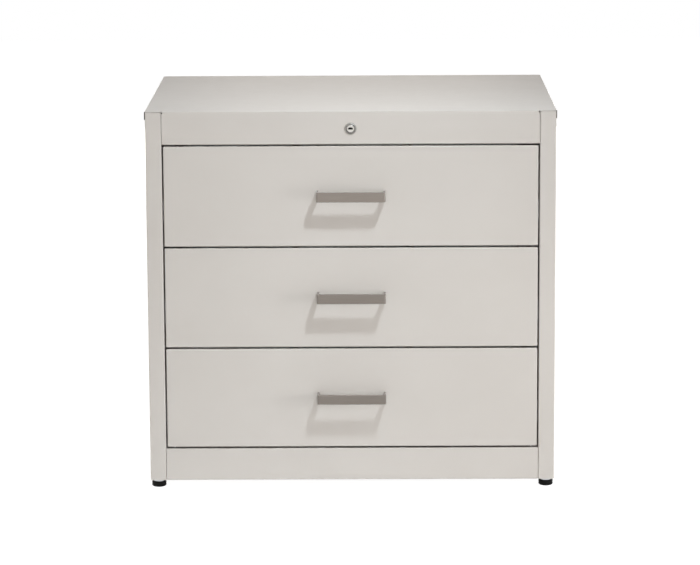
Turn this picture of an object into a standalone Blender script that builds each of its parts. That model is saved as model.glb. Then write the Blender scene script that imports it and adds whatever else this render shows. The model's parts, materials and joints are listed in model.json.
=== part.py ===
"""Card index cabinet: folded sheet steel, with flush full-width drawers for rows of A5 cards.

Sizes are in metres. +X is to the right seen from the front, +Y to the back and +Z up.
The origin is on the floor, under the middle of the cabinet with its handles.
"""

import math

import bmesh
import bpy
from mathutils import Matrix, Vector

# Overall sizes
WIDTH = 0.787  # over the top panel's side flanges
BODY_DEPTH = 0.590  # drawer fronts to the top panel's rear flange
BODY_HEIGHT = 0.721  # post ends to the top
FOOT_HEIGHT = 0.0145  # floor to the post ends

# Sheet work
SHEET = 0.001
FOLD_RADIUS = 0.002  # outside of a folded edge
FOLD_STEPS = 2
TURN_STEPS = 24
FIT_GAP = 0.0003  # between pieces that touch
PANEL_SEAM = 0.0005  # visible seam between neighbouring panels
CUT_MARGIN = 0.010  # how far a cut runs past the piece

# Cabinet shell
POST_WIDTH = 0.031
POST_RETURN = 0.045
POST_PLATE = 0.0015  # plates that close a side panel below and above
FASCIA_HEIGHT = 0.0635
FASCIA_RETURN = 0.020
PLINTH_HEIGHT = 0.063
PLINTH_RETURN = 0.020
TOP_SIDE_FLANGE = 0.015
TOP_REAR_FLANGE = 0.020
BASE_REAR_FLANGE = 0.030
BACK_SIDE_FLANGE = 0.012
RELIEF_DIAMETER = 0.004  # corner relief where the fascia is folded down

# Levelling feet
FOOT_DIAMETER = 0.028
FOOT_CONTACT_DIAMETER = 0.024
FOOT_RIM_HEIGHT = 0.002  # floor to the top of the chamfer
STUD_DIAMETER = 0.010
STUD_LENGTH = 0.020  # above the post end
COLLAR_DIAMETER = 0.020
COLLAR_HEIGHT = 0.004  # below the post end
BUSH_HEIGHT = 0.008  # threaded part above the post end

# Drawers
DRAWER_COUNT = 3
DRAWER_GAP = 0.003  # above and below a front
SIDE_GAP = 0.0027  # beside a front
FRONT_THICKNESS = 0.020
FRONT_LIP = 0.012
TRAY_RISE = 0.014  # tray above the front's lower edge
TRAY_TOP_ROOM = 0.040  # tray below the front's upper edge
TRAY_LIP = 0.006
REAR_ROOM = 0.042  # between a tray and the back panel
ROW_COUNT = 3
DIVIDER_DROP = 0.008  # dividers below the tray's rim
DIVIDER_FLANGE = 0.009
DIVIDER_HEM = 0.010

# Handles
HANDLE_CENTRES = 0.128
HANDLE_LEG = 0.0044
HANDLE_BAR = 0.0055
HANDLE_TALL = 0.0185
HANDLE_PROJECTION = 0.030
HANDLE_RISE = 0.002  # above the middle of the front
HANDLE_OUTER_RADIUS = 0.003
HANDLE_INNER_RADIUS = 0.006
HANDLE_EDGE = 0.0006

# Follower plates
FOLLOWER_SHEET = 0.0012
FOLLOWER_BASE = 0.060
FOLLOWER_DROP = 0.010  # below the tray's rim
FOLLOWER_LEAN = math.radians(8)
FOLLOWER_SIDE_ROOM = 0.0015
FOLLOWER_REAR_ROOM = 0.004
FOLLOWER_FRONT_ROOM = 0.040
SLOT_WIDTH = 0.008
SLOT_END_ROOM = 0.001
GUIDE_HEAD_DIAMETER = 0.018
GUIDE_HEAD_HEIGHT = 0.002

# Telescopic runners
RUNNER_HEIGHT = 0.046
RUNNER_THICKNESS = 0.013  # post to tray
RUNNER_SHEET = 0.001
RUNNER_PLAY = 0.0004
RUNNER_LIP = 0.0045
RUNNER_PROUD = 0.0014  # inner member past the outer member's lips
RUNNER_RISE = 0.050  # runner's middle above the tray's underside
RUNNER_FRONT_ROOM = 0.005  # behind the drawer front
RUNNER_REAR_ROOM = 0.0225  # ahead of the back panel

# Lock
LOCK_DROP = 0.0332  # below the top
BEZEL_DIAMETER = 0.023
BEZEL_HEIGHT = 0.0025
BEZEL_CHAMFER = 0.0012
BARREL_DIAMETER = 0.0185
BARREL_LENGTH = 0.022
NUT_DIAMETER = 0.027
NUT_HEIGHT = 0.004
PLUG_DIAMETER = 0.0135
PLUG_RECESS = 0.0004
KEYWAY_WIDTH = 0.0092
KEYWAY_HEIGHT = 0.0017
KEYWAY_DEPTH = 0.006
SOCKET_DEPTH = 0.008
LOCK_TURN = math.radians(90)

# Locking train behind the drawers
ROD_DIAMETER = 0.008
CRANK_RADIUS = 0.010
CRANK_PIN = 0.005
CRANK_RIM = 0.001
CRANK_THICKNESS = 0.004
CRANK_PLAY = 0.001
PIN_PROUD = 0.0005
SLOT_PLAY = 0.0005
BAR_MARGIN = 0.003  # bar beside its slot
BAR_TOP = 0.012  # bar above its slot
BAR_TAIL = 0.050  # bar below its lowest hook
BAR_THICKNESS = 0.0025
BAR_STANDOFF = 0.0035
BAR_LIFT_SHARE = 0.92  # bar lift for each radian, as a share of the crank radius
HOOK_THICKNESS = 0.003
HOOK_CLEARANCE = 0.002  # unlocked hook below the catch
HOOK_PLAY = 0.0015
CATCH_SHEET = 0.002
CATCH_WIDTH = 0.028
CATCH_REACH = 0.022
CATCH_LIP = 0.018
CATCH_PLATE = 0.040
CATCH_DROP = 0.010  # below the tray's rim
BRACKET_SHEET = 0.0015
BRACKET_FLANGE = 0.014
BRACKET_PLAY = 0.0006
BRACKET_HEIGHT = 0.054
GUIDE_HEIGHT = 0.026
GUIDE_RISE = 0.012  # guide above the bar's lower end

# Places that follow from the sizes
FRONT_Y = -(BODY_DEPTH - HANDLE_PROJECTION) / 2
BACK_Y = FRONT_Y + BODY_DEPTH
REAR_Y = BACK_Y - SHEET - FIT_GAP
REAR_INNER_Y = REAR_Y - SHEET
BASE_Z = FOOT_HEIGHT
TOP_Z = BASE_Z + BODY_HEIGHT
SIDE_X = WIDTH / 2 - SHEET - FIT_GAP
SIDE_TOP_Z = TOP_Z - SHEET - PANEL_SEAM
POST_INNER_X = SIDE_X - POST_WIDTH
PANEL_X = POST_INNER_X - PANEL_SEAM

FRONT_HEIGHT = (
    BODY_HEIGHT - FASCIA_HEIGHT - PLINTH_HEIGHT - (DRAWER_COUNT + 1) * DRAWER_GAP
) / DRAWER_COUNT
FRONT_X = POST_INNER_X - SIDE_GAP
DRAWER_PITCH = FRONT_HEIGHT + DRAWER_GAP
TOP_DRAWER_Z = TOP_Z - FASCIA_HEIGHT - DRAWER_GAP - FRONT_HEIGHT / 2

# Places within a drawer, measured from the middle of its front's face
TRAY_X = POST_INNER_X - RUNNER_THICKNESS - 2 * FIT_GAP
TRAY_FRONT_Y = FRONT_THICKNESS + FIT_GAP
REAR_INNER_DEPTH = REAR_INNER_Y - FRONT_Y
TRAY_BACK_Y = REAR_INNER_DEPTH - REAR_ROOM
TRAY_Z = TRAY_RISE - FRONT_HEIGHT / 2
TRAY_RIM_Z = FRONT_HEIGHT / 2 - TRAY_TOP_ROOM
FLOOR_Z = TRAY_Z + SHEET
ROW_PITCH = 2 * (TRAY_X - SHEET) / ROW_COUNT
FOLLOWER_HEIGHT = TRAY_RIM_Z - FOLLOWER_DROP - FLOOR_Z - FIT_GAP
FOLLOWER_HALF_WIDTH = ROW_PITCH / 2 - SHEET - DIVIDER_FLANGE - FOLLOWER_SIDE_ROOM
FOLLOWER_BEND_Y = (
    TRAY_BACK_Y
    - SHEET
    - FOLLOWER_REAR_ROOM
    - FOLLOWER_SHEET
    - FOLLOWER_HEIGHT * math.tan(FOLLOWER_LEAN)
)
GUIDE_Y = FOLLOWER_BEND_Y - FOLLOWER_BASE / 2
FOLLOWER_TRAVEL = FOLLOWER_BEND_Y - FOLLOWER_BASE - TRAY_FRONT_Y - SHEET - FOLLOWER_FRONT_ROOM
GUIDE_DIAMETER = SLOT_WIDTH - 2 * FIT_GAP
RUNNER_Z = TRAY_Z + RUNNER_RISE
RUNNER_SPAN = (FRONT_THICKNESS + RUNNER_FRONT_ROOM, REAR_INNER_DEPTH - RUNNER_REAR_ROOM)

# Places within the locking train
LOCK_Z = TOP_Z - LOCK_DROP
PLUG_LENGTH = BARREL_LENGTH + SOCKET_DEPTH
BAR_BACK_Y = REAR_INNER_Y - BAR_STANDOFF
BAR_FRONT_Y = BAR_BACK_Y - BAR_THICKNESS
CRANK_BACK_Y = BAR_FRONT_Y - CRANK_PLAY
CRANK_FRONT_Y = CRANK_BACK_Y - CRANK_THICKNESS
BAR_WIDTH = 2 * (CRANK_RADIUS + CRANK_PIN / 2 + SLOT_PLAY + BAR_MARGIN)
BAR_LIFT = BAR_LIFT_SHARE * CRANK_RADIUS * LOCK_TURN
SLOT_Z = LOCK_Z - BAR_LIFT / 2
CATCH_TOP_Z = TRAY_RIM_Z - CATCH_DROP
CATCH_LIP_Z = CATCH_TOP_Z - CATCH_LIP
CATCH_FRONT_Y = FRONT_Y + TRAY_BACK_Y + FIT_GAP
CATCH_BACK_Y = CATCH_FRONT_Y + CATCH_SHEET + CATCH_REACH
HOOK_TIP_Z = CATCH_LIP_Z - HOOK_CLEARANCE
HOOK_ARM_Z = HOOK_TIP_Z - BAR_LIFT - 2 * HOOK_CLEARANCE

# Outline axes for each direction of sweep: (y, z) along X, (x, z) along Y, (x, y) along Z
SWEEPS = {
    "X": Matrix(((0, 0, 1, 0), (1, 0, 0, 0), (0, 1, 0, 0), (0, 0, 0, 1))),
    "Y": Matrix(((1, 0, 0, 0), (0, 0, -1, 0), (0, 1, 0, 0), (0, 0, 0, 1))),
    "Z": Matrix.Identity(4),
}
SIDES = (("left", -1), ("right", 1))
SMOOTH_ANGLE = math.radians(40)
CORNER_ANGLE = math.radians(60)
FLAT_ANGLE = math.radians(1)
QUARTER_TURN = math.radians(90)
MARKER_SIZE = 0.02
TINY = 0.000001


def clear_scene():
    for old in list(bpy.data.objects):
        bpy.data.objects.remove(old, do_unlink=True)


def new_collection(name):
    made = bpy.data.collections.new(name)
    bpy.context.scene.collection.children.link(made)
    return made


def new_material(name, colour, roughness, metallic):
    made = bpy.data.materials.new(name)
    made.use_nodes = True
    shader = made.node_tree.nodes["Principled BSDF"]
    shader.inputs["Base Color"].default_value = (*colour, 1)
    shader.inputs["Roughness"].default_value = roughness
    shader.inputs["Metallic"].default_value = metallic
    return made


# Outlines

def rounded(path, radii):
    """The path with an arc at each inner corner, or the bare corner where its radius is 0."""
    points = [Vector(path[0])]
    for before, corner, after, radius in zip(path, path[1:], path[2:], radii):
        corner = Vector(corner)
        to_start = (Vector(before) - corner).normalized()
        to_end = (Vector(after) - corner).normalized()
        half = to_start.angle(to_end) / 2
        if radius < TINY:
            points.append(corner)
            continue
        centre = corner + (to_start + to_end).normalized() * radius / math.sin(half)
        first = corner + to_start * radius / math.tan(half) - centre
        last = corner + to_end * radius / math.tan(half) - centre
        start = math.atan2(first.y, first.x)
        sweep = math.remainder(math.atan2(last.y, last.x) - start, math.tau)
        for step in range(FOLD_STEPS + 1):
            angle = start + sweep * step / FOLD_STEPS
            points.append(centre + radius * Vector((math.cos(angle), math.sin(angle))))
    points.append(Vector(path[-1]))
    return points


def left_of(path, distance):
    """The path moved to its left, with mitred corners."""
    path = [Vector(point) for point in path]
    normals = [(after - before).normalized().orthogonal() for before, after in zip(path, path[1:])]
    moved = [path[0] + normals[0] * distance]
    for corner, before, after in zip(path[1:], normals, normals[1:]):
        moved.append(corner + (before + after) * distance / (1 + before.dot(after)))
    moved.append(path[-1] + normals[-1] * distance)
    return moved


def sheet_section(path, thickness, radius):
    """Closed outline of a folded sheet: one face follows the path, the sheet lies to its left."""
    near = []
    far = []
    for before, corner, after in zip(path, path[1:], path[2:]):
        step = Vector(corner) - Vector(before)
        left_turn = step.cross(Vector(after) - Vector(corner)) > 0
        inside = max(radius - thickness, 0)
        near.append(radius if left_turn else inside)
        far.append(inside if left_turn else radius)
    return rounded(path, near) + rounded(left_of(path, thickness), far)[::-1]


# Meshes

def finished(bm, name):
    bmesh.ops.recalc_face_normals(bm, faces=bm.faces)
    mesh = bpy.data.meshes.new(name)
    bm.to_mesh(mesh)
    bm.free()
    return mesh


def outline_mesh(name, outline, axis, low, high):
    """A closed outline filled and swept along an axis from low to high."""
    curve = bpy.data.curves.new(name, "CURVE")
    curve.dimensions = "2D"
    curve.fill_mode = "BOTH"
    curve.extrude = (high - low) / 2
    spline = curve.splines.new("POLY")
    spline.points.add(len(outline) - 1)
    for knot, point in zip(spline.points, outline):
        knot.co = (point[0], point[1], 0, 1)
    spline.use_cyclic_u = True
    holder = bpy.data.objects.new(name, curve)
    bpy.context.scene.collection.objects.link(holder)
    graph = bpy.context.evaluated_depsgraph_get()
    filled = bpy.data.meshes.new_from_object(holder.evaluated_get(graph))
    bpy.data.objects.remove(holder)
    bpy.data.curves.remove(curve)
    bm = bmesh.new()
    bm.from_mesh(filled)
    bpy.data.meshes.remove(filled)
    bmesh.ops.remove_doubles(bm, verts=bm.verts, dist=TINY)
    bmesh.ops.dissolve_limit(bm, angle_limit=FLAT_ANGLE, verts=bm.verts, edges=bm.edges)
    middle = Matrix.Identity(4)
    middle["XYZ".index(axis)][3] = (low + high) / 2
    bmesh.ops.transform(bm, matrix=middle @ SWEEPS[axis], verts=bm.verts)
    return finished(bm, name)


def add_box(bm, low, high):
    size = Vector(high) - Vector(low)
    middle = (Vector(high) + Vector(low)) / 2
    place = Matrix.Translation(middle) @ Matrix.Diagonal((*size, 1))
    bmesh.ops.create_cube(bm, size=1, matrix=place)


def boxes_mesh(name, *corners):
    """One mesh of separate boxes, each given by its lowest and highest corner."""
    bm = bmesh.new()
    for low, high in corners:
        add_box(bm, low, high)
    return finished(bm, name)


def rods_mesh(name, *rods):
    """One mesh of separate round bars, each given by its radius and its two ends."""
    bm = bmesh.new()
    for radius, start, end in rods:
        line = Vector(end) - Vector(start)
        turn = line.to_track_quat("Z", "Y").to_matrix().to_4x4()
        place = Matrix.Translation((Vector(start) + Vector(end)) / 2) @ turn
        bmesh.ops.create_cone(
            bm,
            cap_ends=True,
            segments=TURN_STEPS,
            radius1=radius,
            radius2=radius,
            depth=line.length,
            matrix=place,
        )
    return finished(bm, name)


def profile_mesh(name, profile, ring=False):
    """The edges of a turned shape's profile, at +X; a ring's profile is closed."""
    bm = bmesh.new()
    points = [bm.verts.new((radius, 0, height)) for radius, height in profile]
    for start, end in zip(points, points[1:]):
        bm.edges.new((start, end))
    if ring:
        bm.edges.new((points[-1], points[0]))
    mesh = bpy.data.meshes.new(name)
    bm.to_mesh(mesh)
    bm.free()
    return mesh


# Objects

def add_empty(name, location, parent=None):
    made = bpy.data.objects.new(name, None)
    made.empty_display_size = MARKER_SIZE
    made.location = location
    made.parent = parent
    PARTS.objects.link(made)
    return made


def add_part(name, mesh, material, parent):
    made = bpy.data.objects.new(name, mesh)
    made.parent = parent
    mesh.materials.append(material)
    mesh.shade_smooth()
    mesh.set_sharp_from_angle(angle=SMOOTH_ANGLE)
    PARTS.objects.link(made)
    return made


def add_helper(name, mesh, parent):
    """A piece that only cuts or extends another one."""
    made = bpy.data.objects.new(name, mesh)
    made.parent = parent
    made.hide_render = True
    made.display_type = "WIRE"
    CUTTERS.objects.link(made)
    return made


def combine(piece, operation, mesh):
    """Joins a mesh to the piece (UNION) or cuts it out (DIFFERENCE)."""
    helper = add_helper(f"{piece.name}.{mesh.name}", mesh, piece.parent)
    helper.location = piece.location
    helper.rotation_euler = piece.rotation_euler
    step = piece.modifiers.new(mesh.name, "BOOLEAN")
    step.operation = operation
    step.object = helper
    step.solver = "EXACT"
    return helper


def turn_about_axis(piece):
    step = piece.modifiers.new("turned", "SCREW")
    step.steps = TURN_STEPS
    step.render_steps = TURN_STEPS
    step.use_merge_vertices = True
    step.merge_threshold = TINY
    step.use_smooth_shade = True


def fold_shell(piece, thickness):
    step = piece.modifiers.new("sheet", "SOLIDIFY")
    step.thickness = thickness
    step.offset = -1
    step.use_even_offset = True


# Cabinet shell

def make_top_panel():
    fascia_z = TOP_Z - FASCIA_HEIGHT
    path = (
        (BACK_Y, TOP_Z - TOP_REAR_FLANGE),
        (BACK_Y, TOP_Z),
        (FRONT_Y, TOP_Z),
        (FRONT_Y, fascia_z),
        (FRONT_Y + FASCIA_RETURN, fascia_z),
    )
    outline = sheet_section(path, SHEET, FOLD_RADIUS)
    mesh = outline_mesh("top_panel", outline, "X", -WIDTH / 2, WIDTH / 2)
    panel = add_part("top_panel", mesh, PAINT, CABINET)
    ends = []
    flanges = []
    reliefs = []
    for _, side in SIDES:
        inner = side * PANEL_X
        outer = side * (WIDTH / 2 + CUT_MARGIN)
        ends.append((
            (min(inner, outer), FRONT_Y - CUT_MARGIN, fascia_z - CUT_MARGIN),
            (max(inner, outer), FRONT_Y + FASCIA_RETURN + CUT_MARGIN, TOP_Z - SHEET),
        ))
        inner = side * (WIDTH / 2 - SHEET)
        outer = side * WIDTH / 2
        flanges.append((
            (min(inner, outer), FRONT_Y + FOLD_RADIUS, TOP_Z - TOP_SIDE_FLANGE),
            (max(inner, outer), BACK_Y - FOLD_RADIUS, TOP_Z - SHEET / 2),
        ))
        reliefs.append((
            RELIEF_DIAMETER / 2,
            (side * PANEL_X, FRONT_Y - CUT_MARGIN, TOP_Z - FOLD_RADIUS),
            (side * PANEL_X, FRONT_Y + FOLD_RADIUS, TOP_Z - FOLD_RADIUS),
        ))
    lock_hole = (
        BARREL_DIAMETER / 2 + FIT_GAP,
        (0, FRONT_Y - CUT_MARGIN, LOCK_Z),
        (0, FRONT_Y + CUT_MARGIN, LOCK_Z),
    )
    combine(panel, "DIFFERENCE", boxes_mesh("fascia_ends", *ends))
    combine(panel, "UNION", boxes_mesh("side_flanges", *flanges))
    combine(panel, "DIFFERENCE", rods_mesh("holes", lock_hole, *reliefs))


def foot_places():
    """Each foot's name with its side of the cabinet and its place on the floor."""
    for end, y in (("front", FRONT_Y + POST_WIDTH / 2), ("rear", REAR_Y - POST_WIDTH / 2)):
        for name, side in SIDES:
            yield f"foot_{end}_{name}", side, Vector((side * (SIDE_X - POST_WIDTH / 2), y, 0))


def make_side_panel(name, side):
    path = (
        (POST_INNER_X, FRONT_Y + POST_RETURN),
        (POST_INNER_X, FRONT_Y),
        (SIDE_X, FRONT_Y),
        (SIDE_X, REAR_Y),
        (POST_INNER_X, REAR_Y),
        (POST_INNER_X, REAR_Y - POST_RETURN),
    )
    outline = [(side * x, y) for x, y in sheet_section(path, SHEET, FOLD_RADIUS)]
    mesh = outline_mesh(name, outline, "Z", BASE_Z, SIDE_TOP_Z)
    panel = add_part(name, mesh, PAINT, CABINET)
    inset = SHEET / 2
    inner = POST_INNER_X + inset
    outer = SIDE_X - inset
    corners = (
        (inner, FRONT_Y + inset),
        (outer, FRONT_Y + inset),
        (outer, REAR_Y - inset),
        (inner, REAR_Y - inset),
    )
    loop = (corners[-1], *corners, corners[0])
    plate = [(side * x, y) for x, y in rounded(loop, 4 * (FOLD_RADIUS - inset,))[1:-1]]
    foot_z = BASE_Z + inset
    head_z = SIDE_TOP_Z - inset
    combine(panel, "UNION", outline_mesh("foot_plate", plate, "Z", foot_z, foot_z + POST_PLATE))
    combine(panel, "UNION", outline_mesh("head_plate", plate, "Z", head_z - POST_PLATE, head_z))
    collars = []
    holes = []
    for _, foot_side, place in foot_places():
        if foot_side != side:
            continue
        low = place + Vector((0, 0, BASE_Z - COLLAR_HEIGHT))
        high = place + Vector((0, 0, BASE_Z + BUSH_HEIGHT))
        collars.append((COLLAR_DIAMETER / 2, low, high))
        reach = Vector((0, 0, CUT_MARGIN))
        holes.append((STUD_DIAMETER / 2 + FIT_GAP, low - reach, high + reach))
    combine(panel, "UNION", rods_mesh("collars", *collars))
    combine(panel, "DIFFERENCE", rods_mesh("stud_holes", *holes))


def make_back_panel():
    path = (
        (PANEL_X, REAR_Y - BACK_SIDE_FLANGE),
        (PANEL_X, REAR_Y),
        (-PANEL_X, REAR_Y),
        (-PANEL_X, REAR_Y - BACK_SIDE_FLANGE),
    )
    outline = sheet_section(path, SHEET, FOLD_RADIUS)
    mesh = outline_mesh("back_panel", outline, "Z", BASE_Z, SIDE_TOP_Z)
    add_part("back_panel", mesh, PAINT, CABINET)


def make_base_panel():
    rear = REAR_INNER_Y - FIT_GAP
    path = (
        (FRONT_Y + PLINTH_RETURN, BASE_Z + PLINTH_HEIGHT),
        (FRONT_Y, BASE_Z + PLINTH_HEIGHT),
        (FRONT_Y, BASE_Z),
        (rear, BASE_Z),
        (rear, BASE_Z + BASE_REAR_FLANGE),
    )
    outline = sheet_section(path, SHEET, FOLD_RADIUS)
    mesh = outline_mesh("base_panel", outline, "X", -PANEL_X, PANEL_X)
    panel = add_part("base_panel", mesh, PAINT, CABINET)
    notches = []
    for _, side in SIDES:
        inner = side * (PANEL_X - FOLD_RADIUS - FIT_GAP)
        outer = side * (PANEL_X + CUT_MARGIN)
        notches.append((
            (min(inner, outer), REAR_Y - BACK_SIDE_FLANGE - FIT_GAP, BASE_Z - CUT_MARGIN),
            (max(inner, outer), BACK_Y, BASE_Z + BASE_REAR_FLANGE + CUT_MARGIN),
        ))
    combine(panel, "DIFFERENCE", boxes_mesh("rear_notches", *notches))


def make_feet():
    base_z = FOOT_HEIGHT - COLLAR_HEIGHT - FIT_GAP
    stud_z = FOOT_HEIGHT + STUD_LENGTH
    profile = (
        (0, stud_z),
        (STUD_DIAMETER / 2, stud_z),
        (STUD_DIAMETER / 2, base_z),
        (FOOT_DIAMETER / 2, base_z),
        (FOOT_DIAMETER / 2, FOOT_RIM_HEIGHT),
        (FOOT_CONTACT_DIAMETER / 2, 0),
        (0, 0),
    )
    for name, _, place in foot_places():
        axis = add_empty(f"{name}_turn", place, CABINET)
        turn_about_axis(add_part(name, profile_mesh(name, profile), BLACK_PLASTIC, axis))


# Telescopic runners

def runner_sections():
    """Outlines of the outer, middle and inner member, as (inwards from the post, up)."""
    step = RUNNER_SHEET + RUNNER_PLAY
    outer_high = RUNNER_HEIGHT / 2
    middle_high = outer_high - step
    inner_high = middle_high - step
    outer_deep = RUNNER_THICKNESS - RUNNER_PROUD
    middle_deep = outer_deep - step
    inner_deep = middle_deep - step
    neck = middle_high - RUNNER_LIP - RUNNER_PLAY

    def channel(near, deep, high):
        return (
            (deep, high - RUNNER_LIP),
            (deep, high),
            (near, high),
            (near, -high),
            (deep, -high),
            (deep, RUNNER_LIP - high),
        )

    hat = (
        (2 * step, -inner_high),
        (inner_deep, -inner_high),
        (inner_deep, -neck),
        (RUNNER_THICKNESS, -neck),
        (RUNNER_THICKNESS, neck),
        (inner_deep, neck),
        (inner_deep, inner_high),
        (2 * step, inner_high),
    )
    paths = {
        "outer": channel(0, outer_deep, outer_high),
        "middle": channel(step, middle_deep, middle_high),
        "inner": hat,
    }
    return {name: sheet_section(path, RUNNER_SHEET, 0) for name, path in paths.items()}


def make_runners(number, fixed, halfway, moving):
    parents = {"outer": fixed, "middle": halfway, "inner": moving}
    seat = POST_INNER_X - FIT_GAP
    for member, section in runner_sections().items():
        for side_name, side in SIDES:
            name = f"runner_{number}_{member}_{side_name}"
            outline = [(side * (seat - inwards), RUNNER_Z + up) for inwards, up in section]
            mesh = outline_mesh(name, outline, "Y", *RUNNER_SPAN)
            add_part(name, mesh, ZINC, parents[member])


# Drawers

def make_front(prefix, drawer):
    bm = bmesh.new()
    low = (-FRONT_X, 0, -FRONT_HEIGHT / 2)
    high = (FRONT_X, FRONT_THICKNESS, FRONT_HEIGHT / 2)
    add_box(bm, low, high)
    behind = [v for v in bm.verts if v.co.y > FRONT_THICKNESS - TINY]
    folds = [edge for edge in bm.edges if not all(v in behind for v in edge.verts)]
    bmesh.ops.bevel(
        bm,
        geom=folds,
        offset=FOLD_RADIUS,
        segments=FOLD_STEPS,
        profile=0.5,
        affect="EDGES",
        material=-1,
    )
    front = add_part(f"{prefix}_front", finished(bm, f"{prefix}_front"), PAINT, drawer)
    rim = Vector((SHEET, 0, SHEET))
    mouth = Vector((FRONT_LIP, 0, FRONT_LIP))
    hollow = (
        Vector(low) + rim + Vector((0, SHEET, 0)),
        Vector(high) - rim - Vector((0, SHEET, 0)),
    )
    opening = (
        Vector(low) + mouth + Vector((0, FRONT_THICKNESS / 2, 0)),
        Vector(high) - mouth + Vector((0, CUT_MARGIN, 0)),
    )
    combine(front, "DIFFERENCE", boxes_mesh("opening", opening))
    combine(front, "DIFFERENCE", boxes_mesh("hollow", hollow))


def row_middles():
    """Each card row's name and the x of its middle."""
    for row, name in enumerate(("left", "centre", "right")):
        yield name, (row - (ROW_COUNT - 1) / 2) * ROW_PITCH


def make_tray(prefix, drawer):
    bm = bmesh.new()
    add_box(bm, (-TRAY_X, TRAY_FRONT_Y, TRAY_Z), (TRAY_X, TRAY_BACK_Y, TRAY_RIM_Z))
    mouth = [face for face in bm.faces if face.normal.z > 0.5]
    bmesh.ops.delete(bm, geom=mouth, context="FACES_ONLY")
    for side in (-1, 1):
        rim = [
            edge for edge in bm.edges
            if all(v.co.z > TRAY_RIM_Z - TINY and side * v.co.x > TRAY_X - TINY for v in edge.verts)
        ]
        grown = bmesh.ops.extrude_edge_only(bm, edges=rim)["geom"]
        moved = [item for item in grown if isinstance(item, bmesh.types.BMVert)]
        bmesh.ops.translate(bm, verts=moved, vec=(side * TRAY_LIP, 0, 0))
    mesh = bpy.data.meshes.new(f"{prefix}_tray")
    bm.to_mesh(mesh)
    bm.free()
    tray = add_part(f"{prefix}_tray", mesh, PAINT, drawer)
    fold_shell(tray, SHEET)
    reach = GUIDE_DIAMETER / 2 + SLOT_END_ROOM
    slots = [
        (
            (x - SLOT_WIDTH / 2, GUIDE_Y - FOLLOWER_TRAVEL - reach, TRAY_Z - CUT_MARGIN),
            (x + SLOT_WIDTH / 2, GUIDE_Y + reach, TRAY_Z + CUT_MARGIN),
        )
        for _, x in row_middles()
    ]
    combine(tray, "DIFFERENCE", boxes_mesh("follower_slots", *slots))


def make_dividers(prefix, drawer):
    height = TRAY_RIM_Z - DIVIDER_DROP - FLOOR_Z - FIT_GAP
    section = (
        (0, 0),
        (DIVIDER_FLANGE, 0),
        (DIVIDER_FLANGE, SHEET),
        (SHEET, SHEET),
        (SHEET, height - DIVIDER_HEM),
        (2 * SHEET, height - DIVIDER_HEM),
        (2 * SHEET, height),
        (0, height),
    )
    foot_z = FLOOR_Z + FIT_GAP
    for side_name, side in SIDES:
        name = f"{prefix}_divider_{side_name}"
        outline = [(side * (ROW_PITCH / 2 + x), foot_z + z) for x, z in section]
        low = TRAY_FRONT_Y + SHEET + FIT_GAP
        high = TRAY_BACK_Y - SHEET - FIT_GAP
        add_part(name, outline_mesh(name, outline, "Y", low, high), PAINT, drawer)


def make_followers(prefix, drawer):
    """Leaning plates that slide along the rows, each with a headed guide in a slot of the floor."""
    foot_z = FIT_GAP
    bend_y = FOLLOWER_BASE / 2
    path = (
        (-FOLLOWER_BASE / 2, foot_z),
        (bend_y, foot_z),
        (bend_y + FOLLOWER_HEIGHT * math.tan(FOLLOWER_LEAN), foot_z + FOLLOWER_HEIGHT),
    )
    head_z = -SHEET - FIT_GAP
    guide = (
        (0, foot_z + FOLLOWER_SHEET / 2),
        (GUIDE_DIAMETER / 2, foot_z + FOLLOWER_SHEET / 2),
        (GUIDE_DIAMETER / 2, head_z),
        (GUIDE_HEAD_DIAMETER / 2, head_z),
        (GUIDE_HEAD_DIAMETER / 2, head_z - GUIDE_HEAD_HEIGHT),
        (0, head_z - GUIDE_HEAD_HEIGHT),
    )
    for row_name, x in row_middles():
        name = f"{prefix}_follower_{row_name}"
        slider = add_empty(f"{name}_slide", (x, GUIDE_Y, FLOOR_Z), drawer)
        outline = sheet_section(path, FOLLOWER_SHEET, 2 * FOLLOWER_SHEET)
        mesh = outline_mesh(name, outline, "X", -FOLLOWER_HALF_WIDTH, FOLLOWER_HALF_WIDTH)
        plate = add_part(name, mesh, ZINC, slider)
        turn_about_axis(combine(plate, "UNION", profile_mesh("guide", guide)))


def make_handle(prefix, drawer):
    outer_x = (HANDLE_CENTRES + HANDLE_LEG) / 2
    inner_x = outer_x - HANDLE_LEG
    root_y = -FIT_GAP
    bar_y = HANDLE_BAR - HANDLE_PROJECTION
    face_y = -HANDLE_PROJECTION
    outer = ((-outer_x, root_y), (-outer_x, face_y), (outer_x, face_y), (outer_x, root_y))
    inner = ((inner_x, root_y), (inner_x, bar_y), (-inner_x, bar_y), (-inner_x, root_y))
    outline = rounded(outer, 2 * (HANDLE_OUTER_RADIUS,)) + rounded(inner, 2 * (HANDLE_INNER_RADIUS,))
    low = HANDLE_RISE - HANDLE_TALL / 2
    name = f"{prefix}_handle"
    mesh = outline_mesh(name, outline, "Z", low, low + HANDLE_TALL)
    handle = add_part(name, mesh, SATIN_METAL, drawer)
    edge = handle.modifiers.new("edges", "BEVEL")
    edge.width = HANDLE_EDGE
    edge.segments = FOLD_STEPS
    edge.limit_method = "ANGLE"
    edge.angle_limit = CORNER_ANGLE


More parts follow.
